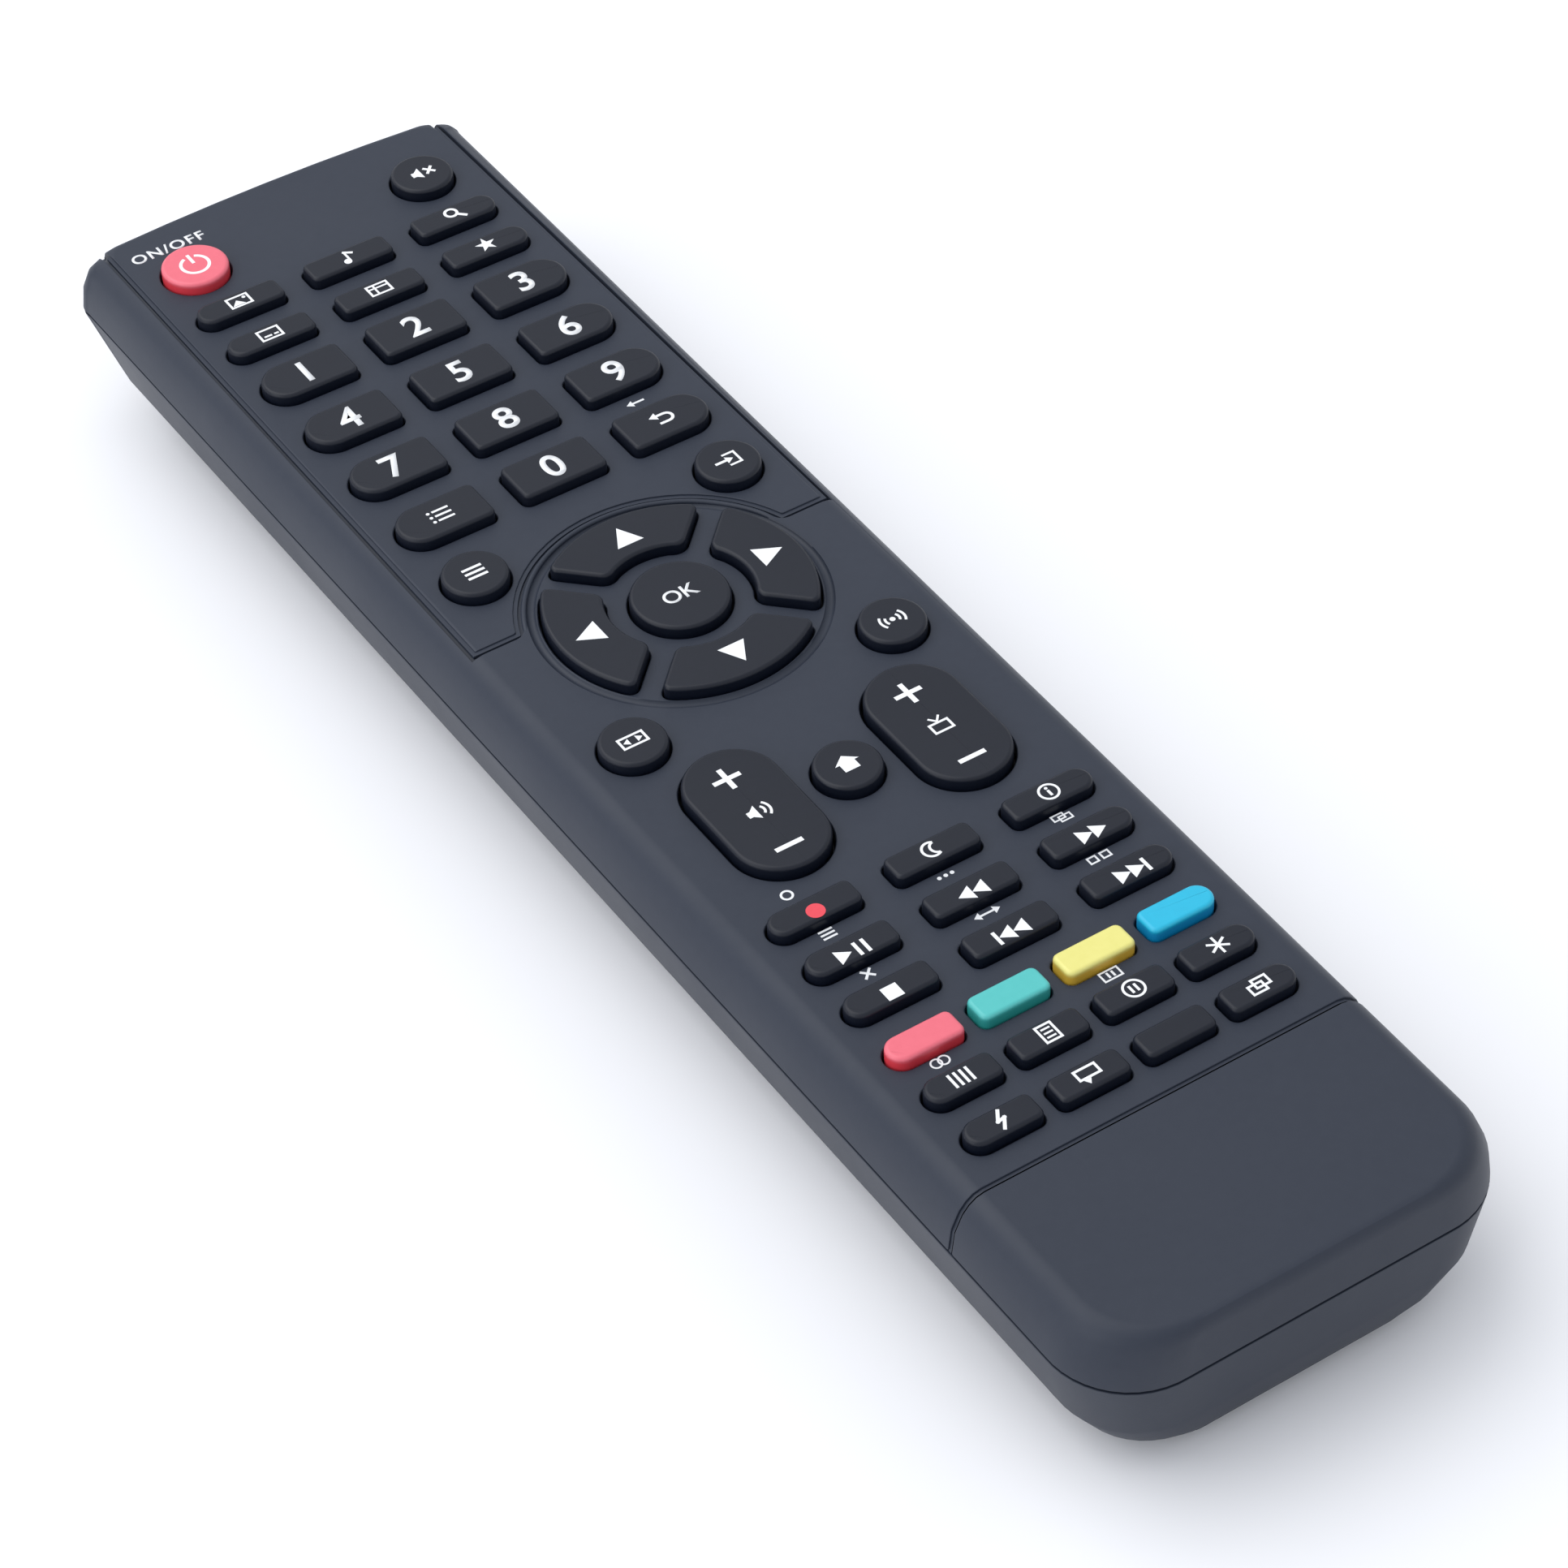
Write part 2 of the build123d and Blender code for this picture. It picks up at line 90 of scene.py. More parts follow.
def apply_place(piece):
    """Moves the piece's place, turn and scale into its mesh, so its object sits at the origin."""
    activate(piece)
    bpy.ops.object.transform_apply(location=True, rotation=True, scale=True)
    return piece


def select_all():
    bpy.ops.mesh.select_all(action="SELECT")


def start_edit(piece):
    """Opens a piece in edit mode, with all of it selected."""
    activate(piece)
    bpy.ops.object.mode_set(mode="EDIT")
    select_all()


def end_edit():
    bpy.ops.object.mode_set(mode="OBJECT")


def select_where(piece, kind, test):
    """In edit mode, selects the points, edges or faces (VERT, EDGE, FACE) that pass a test."""
    bpy.ops.mesh.select_mode(type=kind)
    bpy.ops.mesh.select_all(action="DESELECT")
    form = bmesh.from_edit_mesh(piece.data)
    parts = {"VERT": form.verts, "EDGE": form.edges, "FACE": form.faces}[kind]
    for part in [part for part in parts if test(part)]:
        part.select_set(True)
    bmesh.update_edit_mesh(piece.data)


# %% Helpers: bevels, modifiers and names
def bevel(width, segments, kind="EDGES"):
    """Rounds the selected edges or corners, at the full width even where a short edge lies near."""
    bpy.ops.mesh.bevel(offset=width, segments=segments, profile=0.5, affect=kind, clamp_overlap=False)


def run_modifier(piece, kind, **settings):
    """Adds a modifier with its settings and applies it."""
    activate(piece)
    bpy.ops.object.modifier_add(type=kind)
    modifier = piece.modifiers[-1]
    for name, value in settings.items():
        setattr(modifier, name, value)
    bpy.ops.object.modifier_apply(modifier=modifier.name)


def smooth(piece, degrees):
    """Smooth shading, but for edges sharper than the angle, with flat faces kept flat-looking."""
    activate(piece)
    bpy.ops.object.shade_smooth_by_angle(angle=math.radians(degrees))
    run_modifier(piece, "WEIGHTED_NORMAL", keep_sharp=True)


def paint(piece, material):
    piece.data.materials.clear()
    piece.data.materials.append(material)


def name_piece(piece, name):
    piece.name = name
    piece.data.name = name
    return piece


def dress(piece, degrees, material, body):
    """Shading up to an angle, a material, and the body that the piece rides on."""
    smooth(piece, degrees)
    paint(piece, material)
    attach(piece, body)


# %% [markdown]
# ## The camera
#
# The object is seen from its left and from the hand end, about two and a half of its own lengths
# away and 44 degrees above the table, with a long lens that hardly lets the far end shrink. The
# camera stands where a fit of the key rows puts it, given as its place and the directions that
# are right, up and back in its picture.

# %% Camera
camera_place = Vector((-0.1877, -0.3190, 0.3555))
camera_right = Vector((0.8362, -0.5475, -0.0331))
camera_up = Vector((0.3993, 0.5664, 0.7209))
camera_back = Vector((-0.3760, -0.6160, 0.6922))
focal_in_pixels = 5555.0
picture_width = 1932.0
sensor_width = 36.0

lens = bpy.data.cameras.new("camera")
lens.sensor_width = sensor_width
lens.lens = sensor_width * focal_in_pixels / picture_width
camera = bpy.data.objects.new("camera", lens)
bpy.context.scene.collection.objects.link(camera)
directions = zip(camera_right, camera_up, camera_back, camera_place)
camera.matrix_world = Matrix([*directions, (0.0, 0.0, 0.0, 1.0)])
bpy.context.scene.camera = camera
bpy.context.scene.view_settings.view_transform = "Standard"
print("lens:", round(lens.lens, 1), "mm")

# %% [markdown]
# ## Shader nodes
#
# A finish is a graph of nodes, hard to see when it is written one link at a time. So a helper adds
# a node with all that feeds it: an input gets a plain value, or a link when it is given another
# node's output. A colour mix has its share at input 0 and its colours at 6 and 7.


# %% Shader nodes: adding and feeding
def new_material(name):
    """A new material, with its node tree and its Principled shader."""
    material = bpy.data.materials.new(name)
    material.use_nodes = True
    tree = material.node_tree
    return material, tree, tree.nodes["Principled BSDF"]


def feed(tree, node, inputs):
    """Gives inputs their values, or a link where the value is another node's output."""
    for socket, value in inputs.items():
        if isinstance(value, bpy.types.NodeSocket):
            tree.links.new(value, node.inputs[socket])
        else:
            node.inputs[socket].default_value = value


def add_node(tree, kind, inputs=None, **settings):
    """Adds a shader node with its settings and what feeds it, and gives its outputs."""
    node = tree.nodes.new("ShaderNode" + kind)
    for name, value in settings.items():
        setattr(node, name, value)
    feed(tree, node, inputs or {})
    return node.outputs


def blend(tree, share, first, second):
    """Mixes two colours by a share, and gives the mixed colour's output."""
    return add_node(tree, "Mix", {0: share, 6: first, 7: second}, data_type="RGBA")[2]


# %% [markdown]
# ## Shader groups that several plastics share
#
# Moulded plastic is never quite plain. The mould leaves a fine grain, and hands polish the
# surface in soft patches, so that it shines a little more here and there. Both effects are on the
# casing and on the keys, only stronger or weaker, so each is built once as a node group with named
# sockets. A group gives out values that change over the surface; the Principled shader itself
# stays in each material.

# %% Shader groups: grain and handling
coarse_to_fine = 0.22  # the coarse noise is about five times as large as the fine one


def new_group(name, inputs, outputs):
    """An empty shader group with float inputs, each with its value, and float outputs."""
    group = bpy.data.node_groups.new(name, "ShaderNodeTree")
    for label, value in inputs.items():
        socket = group.interface.new_socket(name=label, in_out="INPUT", socket_type="NodeSocketFloat")
        socket.default_value = value
    for label in outputs:
        group.interface.new_socket(name=label, in_out="OUTPUT", socket_type="NodeSocketFloat")
    return group, group.nodes.new("NodeGroupInput").outputs, group.nodes.new("NodeGroupOutput")


def moulded_grain_group():
    """Fine bumps left by the mould's spark-eroded skin: two sizes of noise, mixed."""
    group, given, result = new_group(
        "moulded_grain", {"Scale": 3800.0, "Coarse Share": 0.35}, ["Height", "Mottle"]
    )
    place = add_node(group, "TexCoord")["Object"]
    fine = add_node(group, "TexNoise", {"Vector": place, "Scale": given["Scale"]})["Fac"]
    larger = add_node(group, "Math", {0: given["Scale"], 1: coarse_to_fine}, operation="MULTIPLY")[0]
    coarse = add_node(group, "TexNoise", {"Vector": place, "Scale": larger})["Fac"]
    mix = add_node(group, "Mix", {0: given["Coarse Share"], 2: fine, 3: coarse})[0]
    feed(group, result, {"Height": mix, "Mottle": coarse})
    return group


def handling_group():
    """Soft patches that hands have polished, as a roughness between two given values."""
    inputs = {"Patch Scale": 45.0, "Polished": 0.42, "Matte": 0.52}
    group, given, result = new_group("handling", inputs, ["Roughness"])
    place = add_node(group, "TexCoord")["Object"]
    patches = {"Vector": place, "Scale": given["Patch Scale"], "Detail": 3.0}
    noise = add_node(group, "TexNoise", patches)["Fac"]
    spread = {"Value": noise, "From Min": 0.35, "From Max": 0.65}
    spread.update({"To Min": given["Polished"], "To Max": given["Matte"]})
    feed(group, result, {"Roughness": add_node(group, "MapRange", spread)["Result"]})
    return group


moulded_grain = moulded_grain_group()
handling = handling_group()
print("groups:", [group.name for group in bpy.data.node_groups])

# %% [markdown]
# ## The plastics
#
# The casing is a matte slate-grey plastic. The keys are near-black with a satin skin, and five of
# them are dyed right through. One function makes them all: it mixes two close shades of the colour
# by the grain's mottle, takes the roughness from the handling group and the bump from the grain.
# The dyed keys have light and shade painted into their colour: paler on top, where the light falls, and
# deeper down their sides, as if in shade, so their colour also follows the height.


# %% Plastics
def plastic(name, shade, deeper, polished, matte, grain_scale, bump_height, specular):
    """A moulded plastic between two shades, with grain and handling from the shared groups."""
    material, tree, shader = new_material(name)
    grain = add_node(tree, "Group", {"Scale": grain_scale}, node_tree=moulded_grain)
    worn = add_node(tree, "Group", {"Polished": polished, "Matte": matte}, node_tree=handling)
    bump = add_node(tree, "Bump", {"Strength": 1.0, "Distance": bump_height, "Height": grain["Height"]})
    colour = blend(tree, grain["Mottle"], (*shade, 1.0), (*deeper, 1.0))
    feed(tree, shader, {"Base Color": colour, "Roughness": worn["Roughness"]})
    feed(tree, shader, {"Normal": bump["Normal"], "Specular IOR Level": specular})
    return material


# Over these depths below a key's top, a dyed key's colour turns from its paler, painted-lit top to the
# painted shade of its flanks.
shade_ramp_start, shade_ramp_end = 0.25 * mm, 0.8 * mm  # below a key's top


def paint_flank_shade(material, node, flank_shade):
    """Paints shade down a key's sides: a deeper colour there than on the top, which is painted paler as
    if lit.
    """
    tree = material.node_tree
    shader = tree.nodes["Principled BSDF"]
    lit_top = shader.inputs["Base Color"].links[0].from_socket
    place = add_node(tree, "TexCoord")["Object"]
    height = add_node(tree, "SeparateXYZ", {"Vector": place})["Z"]
    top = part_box(node)[1].z
    limits = {"From Min": top - shade_ramp_end, "From Max": top - shade_ramp_start}
    shade_share = add_node(tree, "MapRange", {"Value": height, **limits})["Result"]
    feed(tree, shader, {"Base Color": blend(tree, shade_share, (*flank_shade, 1.0), lit_top)})


# roughness where polished and where matte, scale and height of the grain, specular level
casing_skin = (0.46, 0.54, 3800.0, 0.010 * mm, 0.33)
key_skin = (0.36, 0.44, 5200.0, 0.006 * mm, 0.36)
dyed_skin = (0.32, 0.40, 5200.0, 0.005 * mm, 0.5)
casing_grey = plastic("casing_grey", (0.0265, 0.033, 0.050), (0.0225, 0.0285, 0.0445), *casing_skin)
key_black = plastic("black_plastic", (0.0040, 0.0065, 0.0150), (0.0028, 0.0048, 0.0120), *key_skin)
# For each dye: two shades for the top, painted paler where the light falls, and one for the flanks,
# painted deeper as if in shade.
dyes_and_painted_light = {  # two shades for the top, and one for the flanks
    "red": ((0.80, 0.15, 0.20), (0.75, 0.13, 0.175), (0.72, 0.045, 0.065)),
    "green": ((0.085, 0.51, 0.49), (0.07, 0.47, 0.45), (0.03, 0.36, 0.33)),
    "yellow": ((0.78, 0.73, 0.23), (0.73, 0.68, 0.19), (0.74, 0.46, 0.05)),
    "blue": ((0.008, 0.46, 0.68), (0.007, 0.42, 0.63), (0.003, 0.27, 0.58)),
}
dyed_keys = {}
for dye, (shade, deeper, flank_shade) in dyes_and_painted_light.items():
    material = plastic(dye + "_plastic", shade, deeper, *dyed_skin)
    paint_flank_shade(material, "key_" + dye, flank_shade)
    dyed_keys["key_" + dye] = (material, "key_" + dye)
dyed_keys["key_power"] = dyed_keys["key_red"]
print("plastics: grey, black and", list(dyes_and_painted_light))

# %% [markdown]
# ## Print, rubber, board, metal and cells
#
# The marks are a pad print: white ink with a slightly uneven film. Inside are a dull silicone mat,
# a green board, plated contacts and two sleeved cells. They show only when the battery door slides
# off, but each still gets the finish of the real thing. The board's soldered parts hang under it,
# so they are black below its height, and the lamp at the end is dark. The cells' ends are bare.

# %% Print and inner finishes
roughness_spread = 0.06
film_bump = 0.004 * mm


def finish(name, shade, deeper, roughness, metallic=0.0, scale=2500.0, stretch=(1.0, 1.0, 1.0)):
    """A finish whose colour wanders between two shades; stretch draws its pattern out along an axis."""
    material, tree, shader = new_material(name)
    place = add_node(tree, "TexCoord")["Object"]
    drawn = add_node(tree, "Mapping", {"Vector": place, "Scale": stretch})["Vector"]
    noise = add_node(tree, "TexNoise", {"Vector": drawn, "Scale": scale, "Detail": 4.0})["Fac"]
    limits = {"To Min": roughness - roughness_spread, "To Max": roughness + roughness_spread}
    rough = add_node(tree, "MapRange", {"Value": noise, **limits})["Result"]
    bump = add_node(tree, "Bump", {"Distance": film_bump, "Height": noise})
    feed(tree, shader, {"Base Color": blend(tree, noise, (*shade, 1.0), (*deeper, 1.0))})
    feed(tree, shader, {"Metallic": metallic, "Roughness": rough})
    feed(tree, shader, {"Normal": bump["Normal"]})
    return material


white_print = finish("white_print", (0.86, 0.87, 0.88), (0.78, 0.79, 0.81), 0.5)
red_print = finish("red_print", (0.80, 0.06, 0.09), (0.70, 0.05, 0.07), 0.5)
silicone = finish("silicone", (0.045, 0.046, 0.050), (0.035, 0.036, 0.040), 0.72, scale=900.0)
board_green = finish("board_green", (0.02, 0.14, 0.06), (0.015, 0.10, 0.045), 0.35, scale=600.0)
contact_metal = finish(
    "contact_metal", (0.72, 0.72, 0.70), (0.60, 0.60, 0.58), 0.28, metallic=1.0, stretch=(1.0, 1.0, 0.05)
)
cell_jacket = finish("cell_jacket", (0.10, 0.11, 0.14), (0.07, 0.08, 0.10), 0.30, scale=400.0)


def tint_where(material, output, axis, operation, limit, tint, bare_metal=False):
    """Changes a finish's colour where the size of a coordinate passes a comparison with a limit."""
    tree = material.node_tree
    shader = tree.nodes["Principled BSDF"]
    before = shader.inputs["Base Color"].links[0].from_socket
    place = add_node(tree, "TexCoord")[output]
    parts = add_node(tree, "SeparateXYZ", {"Vector": place})
    size = add_node(tree, "Math", {0: parts[axis]}, operation="ABSOLUTE")[0]
    test = add_node(tree, "Math", {0: size, 1: limit}, operation=operation)[0]
    feed(tree, shader, {"Base Color": blend(tree, test, before, (*tint, 1.0))})
    if bare_metal:
        feed(tree, shader, {"Metallic": test})


board_underside = 16.6 * mm
lamp_start = 99.0 * mm
facing_the_end = 0.7
tint_where(board_green, "Object", "Z", "LESS_THAN", board_underside, (0.012, 0.012, 0.014))
tint_where(board_green, "Object", "Y", "GREATER_THAN", lamp_start, (0.015, 0.010, 0.022))
tint_where(cell_jacket, "Normal", "Y", "GREATER_THAN", facing_the_end, (0.66, 0.66, 0.64), True)
print("finishes:", len(bpy.data.materials), "materials in all")

# %% [markdown]
# ## The outlines of the keys
#
# A key and its opening have the same outline, only a little apart. One function therefore gives an
# upright prism with a key's outline grown by a margin: none for the key itself, and the gap round
# it for its opening. Most keys are bars. Those of the left column end in a half round on their
# left, those of the right column on their right, the rockers at both ends, and every other corner
# is eased. A cube gets its size and place, and its upright edges are bevelled.

# %% Key outlines: which key has which
rows = (
    "picture sound zoom",
    "subtitle guide favourite",
    "1 2 3",
    "4 5 6",
    "7 8 9",
    "list 0 return",
    "record sleep info",
    "play_pause rewind fast_forward",
    "stop previous next",
    "red green yellow blue",
    "audio_mode text hold freeze",
    "quick description blank depth",
)
rockers = ("rocker_volume", "rocker_program")
discs = ["key_" + name for name in "power mute menu source wide tuner home enter".split()]
pad_turns = {"key_up": 0, "key_left": 90, "key_down": 180, "key_right": 270}
round_ends = {node: (-1, 1) for node in rockers}
for row in rows:
    row_keys = ["key_" + name for name in row.split()]
    round_ends.update({node: () for node in row_keys})
    round_ends[row_keys[0]] = (-1,)
    round_ends[row_keys[-1]] = (1,)
all_keys = discs + list(pad_turns) + list(round_ends)
print("outlines:", len(discs), "discs,", len(pad_turns), "on the pad,", len(round_ends), "others")

# %% Key outlines: bars and discs
corner_round = 0.85 * mm
half_round = 0.4995  # of the width: a hair less than a half, so the two arcs don't meet
rocker_steps, bar_steps, corner_steps, disc_steps = 20, 16, 5, 72


def middle_of(node):
    low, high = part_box(node)
    return (low + high) / 2


def add_block(x, y, width, depth, low, high):
    """Upright block about a point, between two heights."""
    bpy.ops.mesh.primitive_cube_add(
        size=1.0, location=(x, y, (low + high) / 2), scale=(width, depth, high - low)
    )
    return apply_place(bpy.context.object)


def is_upright(edge):
    a, b = (corner.co for corner in edge.verts)
    return abs(a.x - b.x) + abs(a.y - b.y) < near


def bar_prism(node, grown, low, high, rounded=True):
    """Prism of a bar key or a rocker, with eased corners or half-round ends."""
    corner, far_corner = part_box(node)
    middle = middle_of(node)
    width = far_corner.x - corner.x + 2 * grown
    depth = far_corner.y - corner.y + 2 * grown
    piece = add_block(middle.x, middle.y, width, depth, low, high)
    steps = rocker_steps if node in rockers else bar_steps
    start_edit(piece)
    for side in (-1, 1):
        select_where(
            piece, "EDGE", lambda edge: is_upright(edge) and (edge.verts[0].co.x - middle.x) * side > 0
        )
        if side in round_ends[node]:
            bevel(half_round * min(width, depth), steps)
        elif rounded:
            bevel(corner_round + grown, corner_steps)
    end_edit()
    return piece


def disc_prism(node, grown, low, high):
    """Prism of a round key."""
    corner, far_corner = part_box(node)
    middle = middle_of(node)
    bpy.ops.mesh.primitive_cylinder_add(
        vertices=disc_steps,
        radius=(far_corner.x - corner.x) / 2 + grown,
        depth=high - low,
        location=(middle.x, middle.y, (low + high) / 2),
    )
    return apply_place(bpy.context.object)


# %% [markdown]
# The direction pad is one ring cut by straight spokes of casing into four keys. It is drawn flat
# first: a filled circle gets an inset, its middle is deleted, and two slanting bisects keep one
# quarter. The quarter's facets are dissolved into one face, whose four corners are rounded by a
# vertex bevel. So that the bevel has room to run into, the small steps of the two arcs beside each
# corner are dissolved before. Only then is the face extruded to a prism. The other three keys come
# from the same steps with the cuts turned.

# %% Key outlines: the pad
pad_middle = middle_of("key_enter")
pad_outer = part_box("key_up")[1].y - pad_middle.y
pad_ring = 7.1 * mm  # width of the ring
spoke_half = 1.45 * mm
pad_corner = 1.0 * mm
corner_room = 1.3 * mm
least_turn = math.radians(40)  # the outline turns by more than this at a corner


def outline_corners(piece):
    """In edit mode, the places where a flat face's outline turns sharply."""
    corners = []
    for point in bmesh.from_edit_mesh(piece.data).verts:
        before, after = (edge.other_vert(point).co - point.co for edge in point.link_edges)
        if math.pi - before.angle(after) > least_turn:
            corners.append(point.co.copy())
    return corners


def pad_prism(node, grown, low, high, rounded=True):
    """Prism of one quarter of the pad's ring, its middle pointing at +Y turned by the key's turn."""
    centre = Vector((pad_middle.x, pad_middle.y, low))
    bpy.ops.mesh.primitive_circle_add(
        vertices=96, radius=pad_outer + grown, fill_type="NGON", location=centre
    )
    piece = apply_place(bpy.context.object)
    start_edit(piece)
    bpy.ops.mesh.inset(thickness=pad_ring + 2 * grown)
    bpy.ops.mesh.delete(type="FACE")
    for side in (-45, 45):
        across = math.radians(pad_turns[node] + 90 + side)
        inward = Vector((math.cos(across), math.sin(across), 0))
        select_all()
        bpy.ops.mesh.bisect(
            plane_co=centre + inward * (spoke_half - grown), plane_no=inward, clear_inner=True
        )
    select_all()
    bpy.ops.mesh.dissolve_faces()
    if rounded:
        corners = outline_corners(piece)

        def to_corner(point):
            return min((point.co - corner).length for corner in corners)

        select_where(piece, "VERT", lambda point: near < to_corner(point) < corner_room + grown)
        bpy.ops.mesh.dissolve_verts()
        select_where(piece, "VERT", lambda point: to_corner(point) < near)
        bevel(pad_corner + grown, corner_steps, "VERTICES")
    bpy.ops.mesh.select_mode(type="FACE")
    select_all()
    bpy.ops.mesh.extrude_region_move(TRANSFORM_OT_translate={"value": (0, 0, high - low)})
    select_all()
    bpy.ops.mesh.normals_make_consistent(inside=False)
    end_edit()
    return piece


def key_prism(node, grown, low, high, rounded=True):
    """Upright prism with a key's outline grown by a margin, its eased corners left sharp if wanted."""
    if node in pad_turns:
        return pad_prism(node, grown, low, high, rounded)
    if node in discs:
        return disc_prism(node, grown, low, high)
    return bar_prism(node, grown, low, high, rounded)


# %% [markdown]
# ## The keys
#
# Every key is its prism at no margin, from its CAD foot to its top, with the soft rim of the
# mould. The rockers also have the sharp ridge under them on which they tip: a small cube narrowed
# to an edge. Five keys are dyed and the others black.

# %% Keys
ink = 0.02 * mm  # a key's top is this much lower than in the CAD model, for the print on it
rim_round, rim_steps = 0.5 * mm, 4
key_shading = 38  # degrees between two faces up to which they are shaded as one
ridge_length = 8.0 * mm
ridge_edge = 0.02  # share of the ridge's width that is left at its lower edge
key_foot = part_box("key_home")[0].z


def lies_at(face, height):
    return abs(face.calc_center_median().z - height) < near


def lowest(edge):
    return min(corner.co.z for corner in edge.verts)


def add_ridge(piece, node):
    """In edit mode, adds the ridge that a rocker tips on."""
    middle = middle_of(node)
    ridge_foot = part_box(node)[0].z
    height = key_foot - ridge_foot
    bpy.ops.mesh.primitive_cube_add(
        size=1.0,
        location=(middle.x, middle.y, key_foot - height / 2),
        scale=(ridge_length, 2 * height, height),
    )
    select_where(piece, "FACE", lambda face: lies_at(face, ridge_foot))
    bpy.ops.transform.resize(value=(1.0, ridge_edge, 1.0))


def make_key(node):
    """One key: prism, soft rim, plastic, and its CAD node replaced."""
    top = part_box(node)[1].z - ink
    piece = name_piece(key_prism(node, 0.0, key_foot, top), node + "_cap")
    start_edit(piece)
    select_where(piece, "EDGE", lambda edge: lowest(edge) > top - near)
    bevel(rim_round, rim_steps)
    if node in rockers:
        add_ridge(piece, node)
    end_edit()
    material, slot = dyed_keys.get(node, (key_black, "key_black"))
    dress(piece, key_shading, material, node)
    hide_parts(node)
    return piece


caps = [make_key(node) for node in all_keys]
print("keys:", len(caps), "with", sum(len(cap.data.polygons) for cap in caps), "faces")

# %% [markdown]
# ## The two casing halves and the battery door
#
# The casing's form is already right in the CAD model: a broad shoulder, a bowed infrared end, and
# an underside that curves in. What a solid model leaves out is the small radius on every edge,
# which catches the light as a thin bright rim. A copy of the CAD mesh is merged and its flat
# areas are cleared of needless edges, so that its edges can be bevelled as on a mesh modelled by
# hand. The copy then replaces the node.

# %% Casing: a clean copy of a CAD mesh
flat_angle, edge_angle = math.radians(0.5), math.radians(50)


def merged_copy(node, name):
    """A copy of a CAD node's mesh with its loose triangles joined and its flat areas cleared."""
    piece = name_piece(bpy.data.objects.new(name, nodes[node].data.copy()), name)
    bpy.context.scene.collection.objects.link(piece)
    start_edit(piece)
    bpy.ops.mesh.remove_doubles(threshold=near)
    bpy.ops.mesh.customdata_custom_splitnormals_clear()
    select_all()
    bpy.ops.mesh.dissolve_limited(angle_limit=flat_angle)
    end_edit()
    return piece


def soften_edges(piece, width):
    """Rounds every edge sharper than the edge angle."""
    limits = {"limit_method": "ANGLE", "angle_limit": edge_angle, "use_clamp_overlap": False}
    run_modifier(piece, "BEVEL", width=width, segments=2, **limits)


# %% [markdown]
# The casing's own four corners are drawn out slightly, because the real one is fuller there: by a
# move that is greatest on the corner's diagonal and dies out at both sides. The groove along the
# key panel turns four corners too. There the wall on the outside of the turn gets a wide radius
# and the one on its inside a small one, which keeps the groove even in width.

# %% Casing: corners
panel_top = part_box("upper_casing")[1].z
groove_low = panel_top - 0.6 * mm
front_corner, front_push = (24.0 * mm, 102.6 * mm), 0.55 * mm
near_corner, near_push = (15.9 * mm, 97.0 * mm), 0.25 * mm
seam_edge, upper_edge = 0.12 * mm, 0.15 * mm
tight_turn, wide_turn, turn_steps = 0.3 * mm, 1.1 * mm, 4
casing_shading = 30  # degrees, as for the keys


def draw_out_corner(piece, side, end, middle, push):
    """Moves the upright corner at a side (-1, 1) and an end (-1, 1) outward along its own radius."""
    for point in piece.data.vertices:
        across = point.co.x * side - middle[0]
        along = point.co.y * end - middle[1]
        reach = math.hypot(across, along)
        if across > 0 and along > 0 and reach > 0:
            share = 2 * across * along / reach**2  # 1 on the diagonal, 0 at both sides
            point.co.x += side * push * share * across / reach
            point.co.y += end * push * share * along / reach


def casing_piece(node, name):
    """A cleaned copy of one casing half with its corners drawn out, still with sharp edges."""
    piece = merged_copy(node, name)
    for side in (-1, 1):
        draw_out_corner(piece, side, 1, front_corner, front_push)
        draw_out_corner(piece, side, -1, near_corner, near_push)
    return piece


def dress_shell(piece, body, node):
    dress(piece, casing_shading, casing_grey, body)
    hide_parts(node)
    print(piece.name, len(piece.data.polygons), "faces")


def is_sharp(edge):
    return len(edge.link_faces) == 2 and edge.calc_face_angle() > math.radians(casing_shading)


lower_shell = casing_piece("lower_casing", "lower_shell")
soften_edges(lower_shell, seam_edge)
dress_shell(lower_shell, "base", "lower_casing")
door_cover = merged_copy("battery_door", "door_cover")
soften_edges(door_cover, seam_edge)
dress_shell(door_cover, "battery_door", "battery_door")
upper_shell = casing_piece("upper_casing", "upper_shell")
start_edit(upper_shell)
for sticks_out, turn in ((True, tight_turn), (False, wide_turn)):
    select_where(
        upper_shell,
        "EDGE",
        lambda edge: is_upright(edge)
        and is_sharp(edge)
        and edge.is_convex == sticks_out
        and lowest(edge) > groove_low,
    )
    bevel(turn, turn_steps)
end_edit()
soften_edges(upper_shell, upper_edge)

# %% [markdown]
# ## The key openings
#
# The openings of the CAD model have sharp corners and sharp rims. The real ones are round at every
# corner, and the rim of each is rolled, which draws the fine bright line round the keys. Bevelling
# them all would need clean faces between them, so they are made anew: each opening is first
# plugged by a prism a little wider than itself, flush with the top, and then cut again by a prism
# with the key's outline, the gap and a flared mouth. The flare is made by insets that step along
# a quarter circle. Both sets of prisms are joined first, so that two Booleans do all the work.
# Every piece is closed, so the manifold solver serves, which is quick and leaves clean rims.

# %% Casing: the openings
mouth_round = 0.2 * mm
mouth_steps = 3
mouth_rise = 0.5 * mm  # the cutter stands this far out of the casing
cut_depth = 3.0 * mm
key_gap, rocker_gap = 0.25 * mm, 0.35 * mm
plug_margin = 0.65 * mm
plug_low = panel_top - 1.75 * mm


def combine(piece, other, operation):
    """Applies a Boolean modifier with another piece, which is then deleted."""
    run_modifier(piece, "BOOLEAN", operation=operation, object=other, solver="MANIFOLD")
    bpy.data.objects.remove(other)


def join_all(pieces):
    """Joins pieces into the first of them."""
    activate(pieces[0])
    for piece in pieces:
        piece.select_set(True)
    if len(pieces) > 1:
        bpy.ops.object.join()
    return pieces[0]


